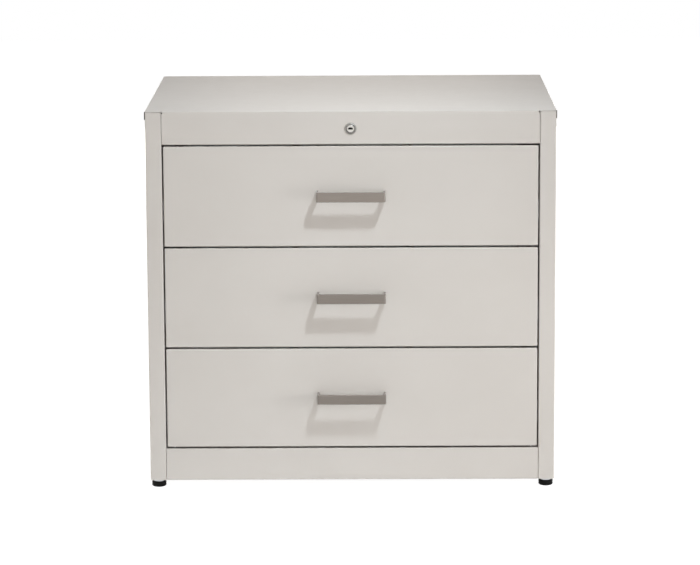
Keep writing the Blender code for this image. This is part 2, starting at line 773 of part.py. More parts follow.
def make_catch(prefix, drawer):
    """Bracket on the tray's back whose lip hangs behind the lock bar's hook."""
    front = CATCH_FRONT_Y - FRONT_Y
    back = CATCH_BACK_Y - FRONT_Y
    arm_z = CATCH_TOP_Z - CATCH_SHEET
    outline = (
        (front, CATCH_TOP_Z - CATCH_PLATE),
        (front + CATCH_SHEET, CATCH_TOP_Z - CATCH_PLATE),
        (front + CATCH_SHEET, arm_z),
        (back - CATCH_SHEET, arm_z),
        (back - CATCH_SHEET, CATCH_LIP_Z),
        (back, CATCH_LIP_Z),
        (back, CATCH_TOP_Z),
        (front, CATCH_TOP_Z),
    )
    name = f"{prefix}_lock_catch"
    mesh = outline_mesh(name, outline, "X", -CATCH_WIDTH / 2, CATCH_WIDTH / 2)
    add_part(name, mesh, ZINC, drawer)


def drawer_middles():
    """Each drawer's number and the height of its middle, from the top drawer down."""
    for index in range(DRAWER_COUNT):
        yield index + 1, TOP_DRAWER_Z - index * DRAWER_PITCH


def make_drawers():
    for number, z in drawer_middles():
        prefix = f"drawer_{number}"
        place = (0, FRONT_Y, z)
        fixed = add_empty(f"runner_{number}_seat", place, CABINET)
        halfway = add_empty(f"runner_{number}_slide", place, CABINET)
        drawer = add_empty(f"{prefix}_slide", place, CABINET)
        make_front(prefix, drawer)
        make_handle(prefix, drawer)
        make_tray(prefix, drawer)
        make_dividers(prefix, drawer)
        make_followers(prefix, drawer)
        make_catch(prefix, drawer)
        make_runners(number, fixed, halfway, drawer)


# Lock and locking train

def make_lock_housing():
    """Bezel, barrel and ring nut, turned about the lock's axis; the profile's height is forwards."""
    bore = PLUG_DIAMETER / 2 + FIT_GAP
    barrel = BARREL_DIAMETER / 2
    bezel = BEZEL_DIAMETER / 2
    nut_front = -SHEET - FIT_GAP
    profile = (
        (bezel - BEZEL_CHAMFER, BEZEL_HEIGHT),
        (bezel, BEZEL_HEIGHT - BEZEL_CHAMFER),
        (bezel, FIT_GAP),
        (barrel, FIT_GAP),
        (barrel, nut_front),
        (NUT_DIAMETER / 2, nut_front),
        (NUT_DIAMETER / 2, nut_front - NUT_HEIGHT),
        (barrel, nut_front - NUT_HEIGHT),
        (barrel, -BARREL_LENGTH),
        (bore, -BARREL_LENGTH),
        (bore, BEZEL_HEIGHT),
    )
    axis = add_empty("lock_seat", (0, FRONT_Y, LOCK_Z), CABINET)
    housing = add_part("lock_housing", profile_mesh("lock_housing", profile, ring=True), NICKEL, axis)
    housing.rotation_euler = (QUARTER_TURN, 0, 0)
    turn_about_axis(housing)


def make_lock_plug(axis):
    socket = ROD_DIAMETER / 2 + FIT_GAP
    face = BEZEL_HEIGHT - PLUG_RECESS
    profile = (
        (0, face),
        (PLUG_DIAMETER / 2, face),
        (PLUG_DIAMETER / 2, -PLUG_LENGTH),
        (socket, -PLUG_LENGTH),
        (socket, SOCKET_DEPTH - PLUG_LENGTH),
        (0, SOCKET_DEPTH - PLUG_LENGTH),
    )
    plug = add_part("lock_plug", profile_mesh("lock_plug", profile), NICKEL, axis)
    plug.rotation_euler = (QUARTER_TURN, 0, 0)
    turn_about_axis(plug)
    keyway = (
        (-KEYWAY_WIDTH / 2, -KEYWAY_HEIGHT / 2, face - KEYWAY_DEPTH),
        (KEYWAY_WIDTH / 2, KEYWAY_HEIGHT / 2, face + CUT_MARGIN),
    )
    combine(plug, "DIFFERENCE", boxes_mesh("keyway", keyway))


def make_lock_rod(axis):
    """Rod from the plug to the back, ending in a disc with an eccentric pin."""
    front = PLUG_LENGTH - SOCKET_DEPTH + FIT_GAP
    disc_front = CRANK_FRONT_Y - FRONT_Y
    disc_back = CRANK_BACK_Y - FRONT_Y
    bar_back = BAR_BACK_Y - FRONT_Y
    sunk = CRANK_THICKNESS / 2
    disc_radius = CRANK_RADIUS + CRANK_PIN / 2 + CRANK_RIM
    bar = rods_mesh("lock_rod", (ROD_DIAMETER / 2, (0, front, 0), (0, disc_front + sunk, 0)))
    rod = add_part("lock_rod", bar, ZINC, axis)
    disc = rods_mesh("disc", (disc_radius, (0, disc_front, 0), (0, disc_back, 0)))
    x = -CRANK_RADIUS * math.cos(LOCK_TURN / 2)
    z = -CRANK_RADIUS * math.sin(LOCK_TURN / 2)
    pin = rods_mesh("pin", (CRANK_PIN / 2, (x, disc_back - sunk, z), (x, bar_back + PIN_PROUD, z)))
    combine(rod, "UNION", disc)
    combine(rod, "UNION", pin)


def lowest_hook_z():
    return TOP_DRAWER_Z - (DRAWER_COUNT - 1) * DRAWER_PITCH + HOOK_ARM_Z - HOOK_THICKNESS


def make_lock_bar():
    """Flat bar with one upturned hook for each drawer and a slot for the crank's pin."""
    lift = add_empty("lock_bar_lift", (0, BAR_BACK_Y, SLOT_Z), CABINET)
    tip_back = CATCH_BACK_Y - CATCH_SHEET - HOOK_PLAY
    tip_front = tip_back - HOOK_THICKNESS
    outline = [(BAR_BACK_Y, SLOT_Z + BAR_TOP), (BAR_FRONT_Y, SLOT_Z + BAR_TOP)]
    for _, z in drawer_middles():
        outline += [
            (BAR_FRONT_Y, z + HOOK_ARM_Z),
            (tip_back, z + HOOK_ARM_Z),
            (tip_back, z + HOOK_TIP_Z),
            (tip_front, z + HOOK_TIP_Z),
            (tip_front, z + HOOK_ARM_Z - HOOK_THICKNESS),
            (BAR_FRONT_Y, z + HOOK_ARM_Z - HOOK_THICKNESS),
        ]
    foot_z = lowest_hook_z() - BAR_TAIL
    outline += [(BAR_FRONT_Y, foot_z), (BAR_BACK_Y, foot_z)]
    outline = [(y - BAR_BACK_Y, z - SLOT_Z) for y, z in outline]
    mesh = outline_mesh("lock_bar", outline, "X", -BAR_WIDTH / 2, BAR_WIDTH / 2)
    bar = add_part("lock_bar", mesh, ZINC, lift)
    room = CRANK_PIN / 2 + SLOT_PLAY
    slot = (
        (-CRANK_RADIUS - room, -CUT_MARGIN, -room),
        (-CRANK_RADIUS * math.cos(LOCK_TURN / 2) + room, CUT_MARGIN, room),
    )
    combine(bar, "DIFFERENCE", boxes_mesh("pin_slot", slot))


def add_bar_guide(name, low, high):
    """Hat-shaped bracket on the back panel, round the lock bar."""
    seat = REAR_INNER_Y - FIT_GAP
    web = CRANK_FRONT_Y - CRANK_PLAY
    inside = BAR_WIDTH / 2 + BRACKET_PLAY
    path = (
        (inside + BRACKET_FLANGE, seat),
        (inside, seat),
        (inside, web),
        (-inside, web),
        (-inside, seat),
        (-inside - BRACKET_FLANGE, seat),
    )
    outline = sheet_section(path, BRACKET_SHEET, FOLD_RADIUS)
    return add_part(name, outline_mesh(name, outline, "Z", low, high), ZINC, CABINET)


def make_lock_bracket():
    low = LOCK_Z - BRACKET_HEIGHT / 2
    bracket = add_bar_guide("lock_bracket", low, low + BRACKET_HEIGHT)
    web = CRANK_FRONT_Y - CRANK_PLAY
    bearing = (
        ROD_DIAMETER / 2 + FIT_GAP,
        (0, web - CUT_MARGIN, LOCK_Z),
        (0, web + CRANK_PLAY, LOCK_Z),
    )
    combine(bracket, "DIFFERENCE", rods_mesh("bearing", bearing))


def make_lock():
    make_lock_housing()
    axis = add_empty("lock_turn", (0, FRONT_Y, LOCK_Z), CABINET)
    make_lock_plug(axis)
    make_lock_rod(axis)
    make_lock_bar()
    make_lock_bracket()
    low = lowest_hook_z() - BAR_TAIL + GUIDE_RISE
    add_bar_guide("lock_bar_guide", low, low + GUIDE_HEIGHT)


clear_scene()
PARTS = new_collection("card_index_cabinet")
CUTTERS = new_collection("cutters")
PAINT = new_material("warm_grey_paint", (0.63, 0.60, 0.565), 0.42, 0.0)
SATIN_METAL = new_material("satin_metal", (0.36, 0.34, 0.31), 0.35, 1.0)
NICKEL = new_material("nickel", (0.66, 0.64, 0.60), 0.2, 1.0)
ZINC = new_material("zinc_plate", (0.55, 0.56, 0.57), 0.38, 1.0)
BLACK_PLASTIC = new_material("black_plastic", (0.012, 0.012, 0.012), 0.5, 0.0)
CABINET = add_empty("cabinet", (0, 0, 0))

make_top_panel()
for panel_side, sign in SIDES:
    make_side_panel(f"side_panel_{panel_side}", sign)
make_back_panel()
make_base_panel()
make_feet()
make_drawers()
make_lock()
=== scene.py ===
"""Card index cabinet: finishes, finer sheet work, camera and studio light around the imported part.

Sizes are in metres. +X is to the right seen from the front, +Y to the back and +Z up.
"""

import json
import math

import bmesh
import bpy
from mathutils import Matrix, Vector


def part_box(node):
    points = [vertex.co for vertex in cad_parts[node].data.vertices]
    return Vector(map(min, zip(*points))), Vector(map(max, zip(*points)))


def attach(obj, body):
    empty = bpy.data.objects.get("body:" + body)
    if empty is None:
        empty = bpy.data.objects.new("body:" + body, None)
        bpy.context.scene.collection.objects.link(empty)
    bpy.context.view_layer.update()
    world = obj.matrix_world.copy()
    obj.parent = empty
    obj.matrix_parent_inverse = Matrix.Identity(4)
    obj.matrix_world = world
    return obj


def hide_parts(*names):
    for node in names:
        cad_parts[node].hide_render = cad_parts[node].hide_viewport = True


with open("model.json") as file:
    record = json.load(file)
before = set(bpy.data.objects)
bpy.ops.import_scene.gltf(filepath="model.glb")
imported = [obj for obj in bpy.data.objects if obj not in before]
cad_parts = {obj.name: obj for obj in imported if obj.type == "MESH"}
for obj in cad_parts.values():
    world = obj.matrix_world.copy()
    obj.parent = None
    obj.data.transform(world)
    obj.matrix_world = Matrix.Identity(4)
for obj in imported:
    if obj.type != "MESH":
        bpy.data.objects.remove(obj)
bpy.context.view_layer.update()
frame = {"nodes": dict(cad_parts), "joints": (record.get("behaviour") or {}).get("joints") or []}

# Sheet work
SHEET = 0.001
FOLD_RADIUS = 0.002
FOLD_STEPS = 6
SMALL_FOLD_STEPS = 4
CORNER_RELIEF = 0.004
RAW_EDGE = 0.0002  # softened edge of cut sheet
RAW_EDGE_STEPS = 2
HOLE_STEPS = 32
FIT_GAP = 0.0003

# Cabinet shell
POST_RETURN = 0.045
POST_PLATE = 0.0015
FASCIA_RETURN = 0.020
PLINTH_RETURN = 0.020
TOP_SIDE_FLANGE = 0.015
TOP_REAR_FLANGE = 0.020
BASE_REAR_FLANGE = 0.030
BACK_SIDE_FLANGE = 0.012
CORNER_SHADE_SETBACK = 0.0008  # painted shade: a dark block behind the front, in the flange end's shadow gap
CORNER_SHADE_PLAY = FIT_GAP / 3
LOCK_HOLE_ROOM = 0.62  # half side of the square about the lock's hole, in barrel diameters
FOOT_HOLE_ROOM = 0.4  # half side of the square about a foot's hole, in collar diameters
REAR_RIVET_SHARES = (-0.9, -0.45, 0, 0.45, 0.9)  # along half the top's rear flange

# Fasteners
RIVET_RADIUS = 0.0024
RIVET_HEIGHT = 0.0009
RIVET_TURNS = (0, math.pi / 8, math.pi / 4, 3 * math.pi / 8)
RIVET_STEPS = 16
SCREW_RADIUS = 0.0035
SCREW_HEIGHT = 0.0021
SCREW_STEPS = 18
SCREW_PROFILE = (  # pan head with a socket, in radii and heights
    (0, 0), (0.96, 0), (1, 0.3), (0.93, 0.72), (0.72, 1), (0.42, 1), (0.42, 0.4), (0, 0.4),
)

# Drawers
FRONT_LIP = 0.012
RETURN_TAPER = 0.0025  # returns lean in towards the back, so that neighbouring fronts clear
TRAY_LIP = 0.006
TRAY_CORNER = 0.0015
TRAY_LIP_RELIEF = 0.004
SLOT_WIDTH = 0.008
SLOT_END_ROOM = 0.001
SLOT_END_STEPS = 7
DIVIDER_FLANGE = 0.009
DIVIDER_HEM = 0.010
DIVIDER_SHEET = 0.0009
DIVIDER_BEND = 0.00095
HANDLE_LEG = 0.0044
HANDLE_BAR = 0.0055
HANDLE_OUTER_RADIUS = 0.003
HANDLE_INNER_RADIUS = 0.006
HANDLE_EDGE = 0.0006
HANDLE_EDGE_STEPS = 4
FRONT_SCREW_COLUMNS = (-0.86, -0.3, 0.3, 0.86)  # shares of half the tray's width
FRONT_SCREW_ROWS = (0.3, 0.8)  # shares of the tray's height
RUNNER_SCREW_SHARES = (0.1, 0.5, 0.9)  # shares of the tray's length
DIVIDER_RIVET_SHARES = (0.08, 0.5, 0.92)  # shares of the divider's length

# Follower plates
FOLLOWER_SHEET = 0.0012
FOLLOWER_BASE = 0.060
FOLLOWER_LEAN = math.radians(8)
FOLLOWER_BEND = 0.0024
FOLLOWER_CORNER = 0.012
FOLLOWER_FOOT_CORNER = 0.005
FINGER_NOTCH = 0.036
FINGER_NOTCH_STEPS = 13
GUIDE_DIAMETER = 0.0074
GUIDE_DOME = ((0, 0.001), (0.003, 0.0008), (0.0045, 0))  # (radius, height) above the plate
GUIDE_HEAD_DIAMETER = 0.018
GUIDE_HEAD_HEIGHT = 0.002
GUIDE_HEAD_WALL = 0.0012
GUIDE_HEAD_EDGE = 0.0006
GUIDE_STEPS = 32

# Runners
RUNNER_SHEET = 0.001
RUNNER_BEND = 0.0012
RUNNER_PLAY = 0.0004
RUNNER_LIP = 0.0045

# Lock; an edge's points are (inwards from the edge, above its face)
LOCK_DROP = 0.0332
LOCK_STEPS = 64
BARREL_DIAMETER = 0.0185
BARREL_LENGTH = 0.022
BEZEL_DIAMETER = 0.023
BEZEL_HEIGHT = 0.0025
BEZEL_MOUTH = ((0, -0.0010), (-0.0005, -0.0003), (-0.0007, 0))
BEZEL_GROOVE_INNER = 0.0031
BEZEL_GROOVE_OUTER = 0.0020
BEZEL_GROOVE_DEPTH = 0.0008
BEZEL_RIM = (
    (BEZEL_GROOVE_INNER, 0),
    (0.0030, -BEZEL_GROOVE_DEPTH),
    (0.0021, -BEZEL_GROOVE_DEPTH),
    (BEZEL_GROOVE_OUTER, -0.0001),
    (0.0010, -0.0004),
    (0.0003, -0.0011),
    (0, -0.0019),
)
PAINTED_SHADE_MOUTH = 0.0006  # width of the bezel's mouth that gets painted shade
PAINTED_SHADE_DEPTH = 0.0001  # depth below the bezel's face at which the painted shade starts
PLUG_DIAMETER = 0.0135
PLUG_RECESS = 0.0004
PLUG_EDGE = ((0.0004, 0), (0.0001, -0.0002), (0, -0.0005))
ROD_DIAMETER = 0.008
SOCKET_DEPTH = 0.008
NUT_DIAMETER = 0.027
NUT_HEIGHT = 0.004
KEYWAY_WIDTH = 0.0092
KEYWAY_HEIGHT = 0.0032
KEYWAY_ARCH = 0.0011
KEYWAY_DEPTH = 0.0055

# Central locking
CATCH_SHEET = 0.002
CATCH_LIP = 0.018
CATCH_BEND = 0.003
CATCH_EDGE = 0.0003
CATCH_RIVET_COLUMNS = (-0.008, 0.008)
CATCH_RIVET_HEIGHT = 0.012
TRAIN_EDGES = {
    "lock_rod": 0.0004,
    "lock_bar": 0.0005,
    "lock_bracket": 0.0003,
    "lock_bar_guide": 0.0003,
}
BRACKET_SHEET = 0.0015
BRACKET_RIVET_INSET = 0.006
BRACKET_RIVET_ROWS = (0.25, 0.75)  # shares of the bracket's height

# Feet; an edge's points are (inwards from the edge, above its level)
FOOT_CONTACT_DIAMETER = 0.024
FOOT_SOLE_RECESS = 0.0006
FOOT_SOLE = ((0.002, FOOT_SOLE_RECESS), (0.0015, 0), (0.0005, 0), (0, 0.0003))
FOOT_RIM_HEIGHT = 0.002
FOOT_RIM = ((0.0004, -0.0005), (0, 0.0003))
FOOT_GROOVE_HEIGHT = 0.0048
FOOT_GROOVE = (
    (0, -0.0006),
    (0.0003, -0.0002),
    (0.0010, 0),
    (0.0010, 0.0008),
    (0.0003, 0.0010),
    (0, 0.0014),
)
FOOT_CROWN = ((0, -0.0008), (0.0003, -0.0003), (0.0008, 0))
FOOT_STEPS = 48
STUD_DIAMETER = 0.010
STUD_PLAY = 0.0002
STUD_SEAT_DEPTH = 0.004
STUD_ROOT = 0.0035  # length of the stud in its seat
STUD_STEPS = 24
THREAD_PITCH = 0.0015
THREAD_DEPTH = 0.0006
THREAD_CREST = (0.4, 0.6)  # start and end of a crest, in pitches
COLLAR_DIAMETER = 0.020
COLLAR_EDGE = ((0.0004, 0), (0, 0.0004))
COLLAR_GAP = 0.0001
BUSH_DIAMETER = 0.016
BUSH_LENGTH = 0.008

BEND_ANGLE = math.radians(20)
SMOOTH_ANGLE = math.radians(30)
EDGE_ANGLE = math.radians(55)
FLAT_ANGLE = math.radians(1)
TINY = 0.00001
SIDES = (("left", -1), ("right", 1))
FOOT_ENDS = ("front", "rear")
ROWS = ("left", "centre", "right")
DRAWERS = (1, 2, 3)

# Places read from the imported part
TOP_LOW, TOP_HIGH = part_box("top_panel")
BASE_LOW, BASE_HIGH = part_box("base_panel")
SIDE_LOW, SIDE_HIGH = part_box("side_panel_right")
FRONT_Y = TOP_LOW.y
LOCK_Z = TOP_HIGH.z - LOCK_DROP
POST_END_Z = BASE_LOW.z

# Finishes

NOISE_LOW = 0.3  # most values of a noise lie between these two
NOISE_HIGH = 0.7


def new_finish(name, metallic):
    made = bpy.data.materials.new(name)
    made.use_nodes = True
    shader = made.node_tree.nodes["Principled BSDF"]
    shader.inputs["Metallic"].default_value = metallic
    return made, made.node_tree, shader


def pattern_place(tree, scale=(1, 1, 1), centre=(0, 0, 0)):
    """Object coordinates measured from a centre and stretched along the axes."""
    coordinates = tree.nodes.new("ShaderNodeTexCoord")
    place = tree.nodes.new("ShaderNodeMapping")
    place.vector_type = "POINT"
    place.inputs["Location"].default_value = [-c * s for c, s in zip(centre, scale)]
    place.inputs["Scale"].default_value = scale
    tree.links.new(coordinates.outputs["Object"], place.inputs["Vector"])
    return place.outputs["Vector"]


def grain(tree, place, size, detail=2.0):
    noise = tree.nodes.new("ShaderNodeTexNoise")
    noise.inputs["Scale"].default_value = 1 / size
    noise.inputs["Detail"].default_value = detail
    tree.links.new(place, noise.inputs["Vector"])
    return noise.outputs["Fac"]


def tint(tree, shader, value, dark, light):
    ramp = tree.nodes.new("ShaderNodeValToRGB")
    ramp.color_ramp.elements[0].position = NOISE_LOW
    ramp.color_ramp.elements[1].position = NOISE_HIGH
    ramp.color_ramp.elements[0].color = (*dark, 1)
    ramp.color_ramp.elements[1].color = (*light, 1)
    tree.links.new(value, ramp.inputs["Fac"])
    tree.links.new(ramp.outputs["Color"], shader.inputs["Base Color"])


def vary_roughness(tree, shader, value, low, high):
    spread = tree.nodes.new("ShaderNodeMapRange")
    spread.inputs["From Min"].default_value = NOISE_LOW
    spread.inputs["From Max"].default_value = NOISE_HIGH
    spread.inputs["To Min"].default_value = low
    spread.inputs["To Max"].default_value = high
    tree.links.new(value, spread.inputs["Value"])
    tree.links.new(spread.outputs["Result"], shader.inputs["Roughness"])


def relief(tree, shader, value, height, strength):
    bump = tree.nodes.new("ShaderNodeBump")
    bump.inputs["Distance"].default_value = height
    bump.inputs["Strength"].default_value = strength
    tree.links.new(value, bump.inputs["Height"])
    tree.links.new(bump.outputs["Normal"], shader.inputs["Normal"])


def make_powder_coat():
    """Warm grey powder coat with the faint orange-peel texture of baked paint."""
    made, tree, shader = new_finish("warm_grey_powder_coat", metallic=0.0)
    place = pattern_place(tree)
    clouds = grain(tree, place, size=0.12)
    tint(tree, shader, clouds, dark=(0.622, 0.592, 0.557), light=(0.638, 0.608, 0.573))
    vary_roughness(tree, shader, grain(tree, place, size=0.02), low=0.49, high=0.55)
    relief(tree, shader, grain(tree, place, size=0.0016), height=0.00004, strength=0.6)
    return made


def make_satin_metal():
    """Satin handle metal, brushed along the bar and lacquered."""
    made, tree, shader = new_finish("satin_handle_metal", metallic=0.7)
    shader.inputs["Coat Weight"].default_value = 1.0
    shader.inputs["Coat Roughness"].default_value = 0.10
    strokes = pattern_place(tree, scale=(0.02, 1, 1))
    streaks = grain(tree, strokes, size=0.0006, detail=3.0)
    tint(tree, shader, streaks, dark=(0.141, 0.121, 0.103), light=(0.162, 0.140, 0.121))
    vary_roughness(tree, shader, streaks, low=0.30, high=0.40)
    relief(tree, shader, streaks, height=0.00001, strength=0.3)
    return made


def make_nickel(name, dark, light):
    """Nickel of the lock, turned, with faint rings about the lock's axis."""
    made, tree, shader = new_finish(name, metallic=1.0)
    place = pattern_place(tree, centre=(0, FRONT_Y, LOCK_Z))
    rings = tree.nodes.new("ShaderNodeTexWave")
    rings.wave_type = "RINGS"
    rings.rings_direction = "Y"
    rings.inputs["Scale"].default_value = 500
    rings.inputs["Distortion"].default_value = 1.0
    tree.links.new(place, rings.inputs["Vector"])
    tint(tree, shader, grain(tree, place, size=0.004), dark, light)
    vary_roughness(tree, shader, rings.outputs["Fac"], low=0.42, high=0.52)
    return made


def make_zinc():
    """Zinc plate with a mild spangle."""
    made, tree, shader = new_finish("zinc_plated_steel", metallic=1.0)
    place = pattern_place(tree)
    spangle = tree.nodes.new("ShaderNodeTexVoronoi")
    spangle.inputs["Scale"].default_value = 140
    tree.links.new(place, spangle.inputs["Vector"])
    cells = spangle.outputs["Distance"]
    tint(tree, shader, cells, dark=(0.53, 0.54, 0.56), light=(0.58, 0.59, 0.60))
    vary_roughness(tree, shader, grain(tree, place, size=0.006, detail=4.0), low=0.33, high=0.45)
    relief(tree, shader, grain(tree, place, size=0.0012), height=0.00001, strength=0.4)
    return made


def make_black_plastic_and_shade():
    """Black plastic of the feet, finely grained; on the corner blocks it is painted shade."""
    made, tree, shader = new_finish("black_foot_plastic_and_painted_shade", metallic=0.0)
    shader.inputs["Specular IOR Level"].default_value = 0.08
    place = pattern_place(tree)
    clouds = grain(tree, place, size=0.004)
    tint(tree, shader, clouds, dark=(0.005, 0.005, 0.005), light=(0.008, 0.008, 0.0075))
    vary_roughness(tree, shader, grain(tree, place, size=0.002), low=0.45, high=0.58)
    relief(tree, shader, grain(tree, place, size=0.0005), height=0.00003, strength=0.5)
    return made


def make_keyway_painted_shade():
    """Painted shade: the dark inside of the keyway and of the bezel's groove and mouth."""
    made, tree, shader = new_finish("painted_shade_keyway", metallic=0.0)
    shader.inputs["Roughness"].default_value = 0.6
    shader.inputs["Specular IOR Level"].default_value = 0.05
    place = pattern_place(tree)
    clouds = grain(tree, place, size=0.001)
    tint(tree, shader, clouds, dark=(0.006, 0.006, 0.006), light=(0.014, 0.013, 0.012))
    relief(tree, shader, grain(tree, place, size=0.0004), height=0.00002, strength=0.5)
    return made


PAINT = make_powder_coat()
SATIN_METAL = make_satin_metal()
# The bezel's nickel is tinted darker than the plug's: painted shade for the darker surroundings the
# bezel reflects.
BEZEL_NICKEL_PAINTED_SHADE = make_nickel("painted_shade_bezel_nickel", (0.32, 0.31, 0.29), (0.39, 0.38, 0.36))
PLUG_NICKEL = make_nickel("bright_plug_nickel", (0.43, 0.42, 0.40), (0.48, 0.47, 0.45))
ZINC = make_zinc()
BLACK_PLASTIC_AND_SHADE = make_black_plastic_and_shade()
KEYWAY_PAINTED_SHADE = make_keyway_painted_shade()


# Sheet work and turned work

def flat_sheet(low, high, z):
    bm = bmesh.new()
    corners = ((low[0], low[1]), (high[0], low[1]), (high[0], high[1]), (low[0], high[1]))
    bm.faces.new([bm.verts.new((x, y, z)) for x, y in corners])
    return bm


def swept_sheet(points, run):
    """A sheet whose section is a line through the points, swept along the run."""
    bm = bmesh.new()
    line = [bm.verts.new(point) for point in points]
    edges = [bm.edges.new(pair) for pair in zip(line, line[1:])]
    extrude_edges(bm, edges, run)
    return bm


def verts_of(geom):
    return [item for item in geom if isinstance(item, bmesh.types.BMVert)]


def extrude_edges(bm, edges, step):
    """New faces from the edges along the step; returns the new outer edges."""
    grown = bmesh.ops.extrude_edge_only(bm, edges=edges)["geom"]
    moved = set(verts_of(grown))
    bmesh.ops.translate(bm, verts=list(moved), vec=step)
    return [edge for edge in bm.edges if moved.issuperset(edge.verts)]


def extrude_outline(bm, step):
    """Makes a flat outline into a solid along the step."""
    grown = bmesh.ops.extrude_face_region(bm, geom=bm.faces[:])["geom"]
    bmesh.ops.translate(bm, verts=verts_of(grown), vec=step)


def edges_where(bm, test):
    return [edge for edge in bm.edges if all(test(vert.co) for vert in edge.verts)]


def faces_where(bm, test):
    return [face for face in bm.faces if test(face.calc_center_median())]


def cut_across(bm, axis, places, where=lambda middle: True):
    """An edge across the chosen faces at each place along an axis."""
    normal = Vector((axis == "X", axis == "Y", axis == "Z"))
    for place in places:
        faces = faces_where(bm, where)
        edges = {edge for face in faces for edge in face.edges}
        verts = {vert for face in faces for vert in face.verts}
        bmesh.ops.bisect_plane(
            bm,
            geom=[*verts, *edges, *faces],
            dist=TINY,
            plane_co=normal * place,
            plane_no=normal,
        )


def drill(bm, centre, radius):
    """A round hole in the square face that lies about the centre."""
    centre = Vector(centre)
    face = min(bm.faces, key=lambda f: (f.calc_center_median() - centre).length)
    face.normal_update()
    corners = face.verts[:]
    reach = (corners[0].co - centre).normalized() * radius
    ring = []
    for step in range(HOLE_STEPS):
        turn = Matrix.Rotation(step / HOLE_STEPS * math.tau, 3, face.normal)
        ring.append(bm.verts.new(centre + turn @ reach))
    bm.faces.remove(face)
    ring.append(ring[0])
    quarter = HOLE_STEPS // 4
    for number, corner in enumerate(corners):
        arc = ring[number * quarter:(number + 1) * quarter + 1]
        bm.faces.new((corner, corners[(number + 1) % 4], *reversed(arc)))


def scoop(bm, edge, direction, steps):
    """Pushes a straight edge out into a half circle."""
    middle = (edge.verts[0].co + edge.verts[1].co) / 2
    radius = edge.calc_length() / 2
    split = bmesh.ops.subdivide_edges(bm, edges=[edge], cuts=steps)["geom_inner"]
    for vert in verts_of(split):
        along = (vert.co - middle).length
        turned = math.sin(along / radius * math.pi / 2) * radius
        if along > TINY:
            vert.co = middle + (vert.co - middle) * turned / along
        vert.co += Vector(direction) * math.sqrt(max(radius ** 2 - turned ** 2, 0))


def bevel(bm, geom, radius, steps, affect):
    bmesh.ops.bevel(
        bm,
        geom=geom,
        offset=radius,
        segments=steps,
        profile=0.5,
        affect=affect,
        material=-1,
    )


def round_folds(bm, radius, steps=FOLD_STEPS):
    bmesh.ops.recalc_face_normals(bm, faces=bm.faces)
    folds = [
        edge for edge in bm.edges
        if len(edge.link_faces) == 2 and edge.calc_face_angle() > BEND_ANGLE
    ]
    bevel(bm, folds, radius, steps, "EDGES")


def round_corners(bm, verts, radius):
    bevel(bm, verts, radius, FOLD_STEPS, "VERTICES")


def thicken(bm, thickness, outwards=(0, 0, 0)):
    """Gives the sheet its thickness, away from its outer side; a flat sheet's outer side is given."""
    bmesh.ops.remove_doubles(bm, verts=bm.verts, dist=TINY)
    bmesh.ops.recalc_face_normals(bm, faces=bm.faces)
    middle = sum((vert.co for vert in bm.verts), Vector()) / len(bm.verts)
    facing = 0
    for face in bm.faces:
        away = face.calc_center_median() - middle + Vector(outwards)
        facing += face.calc_area() * face.normal.dot(away)
    if facing < 0:
        bmesh.ops.reverse_faces(bm, faces=bm.faces)
    bmesh.ops.solidify(bm, geom=bm.faces[:], thickness=thickness)


def edge_profile(edge, level, points):
    """Points of a turned edge, each given inwards from the edge and above the level."""
    return [(edge - inwards, level + above) for inwards, above in points]


def lathe(bm, profile, place, facing, steps):
    """Turns a profile of (radius, height) about an axis that starts at the place."""
    before = set(bm.verts)
    points = [bm.verts.new((radius, 0, height)) for radius, height in profile]
    edges = [bm.edges.new(pair) for pair in zip(points, points[1:])]
    bmesh.ops.spin(
        bm,
        geom=[*points, *edges],
        cent=(0, 0, 0),
        axis=(0, 0, 1),
        angle=math.tau,
        steps=steps,
        use_merge=True,
    )
    made = [vert for vert in bm.verts if vert not in before]
    turn = Vector(facing).to_track_quat("Z", "Y").to_matrix().to_4x4()
    bmesh.ops.transform(bm, matrix=Matrix.Translation(place) @ turn, verts=made)
    bmesh.ops.remove_doubles(bm, verts=made, dist=TINY / 10)


def add_rivet(bm, place, facing):
    dome = [(RIVET_RADIUS * math.cos(turn), RIVET_HEIGHT * math.sin(turn)) for turn in RIVET_TURNS]
    lathe(bm, [(0, 0), *dome, (0, RIVET_HEIGHT)], place, facing, RIVET_STEPS)


def add_screw(bm, place, facing):
    profile = [(radius * SCREW_RADIUS, height * SCREW_HEIGHT) for radius, height in SCREW_PROFILE]
    lathe(bm, profile, place, facing, SCREW_STEPS)


def add_piece(name, bm, finish, body, *nodes, edge=RAW_EDGE):
    """Finishes a mesh as a piece that rides on a body and stands for the CAD nodes."""
    bmesh.ops.recalc_face_normals(bm, faces=bm.faces)
    mesh = bpy.data.meshes.new(name)
    bm.to_mesh(mesh)
    bm.free()
    mesh.materials.append(finish)
    mesh.shade_smooth()
    mesh.set_sharp_from_angle(angle=SMOOTH_ANGLE)
    made = bpy.data.objects.new(name, mesh)
    bpy.context.scene.collection.objects.link(made)
    if edge:
        soften_edges(made, edge)
    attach(made, body)
    if nodes:
        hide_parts(*nodes)
    return made


def soften_edges(piece, width):
    softened = piece.modifiers.new("softened_edges", "BEVEL")
    softened.width = width
    softened.segments = RAW_EDGE_STEPS
    softened.limit_method = "ANGLE"
    softened.angle_limit = EDGE_ANGLE
    softened.use_clamp_overlap = True
    flat = piece.modifiers.new("even_faces", "WEIGHTED_NORMAL")
    flat.keep_sharp = True


# Cabinet shell

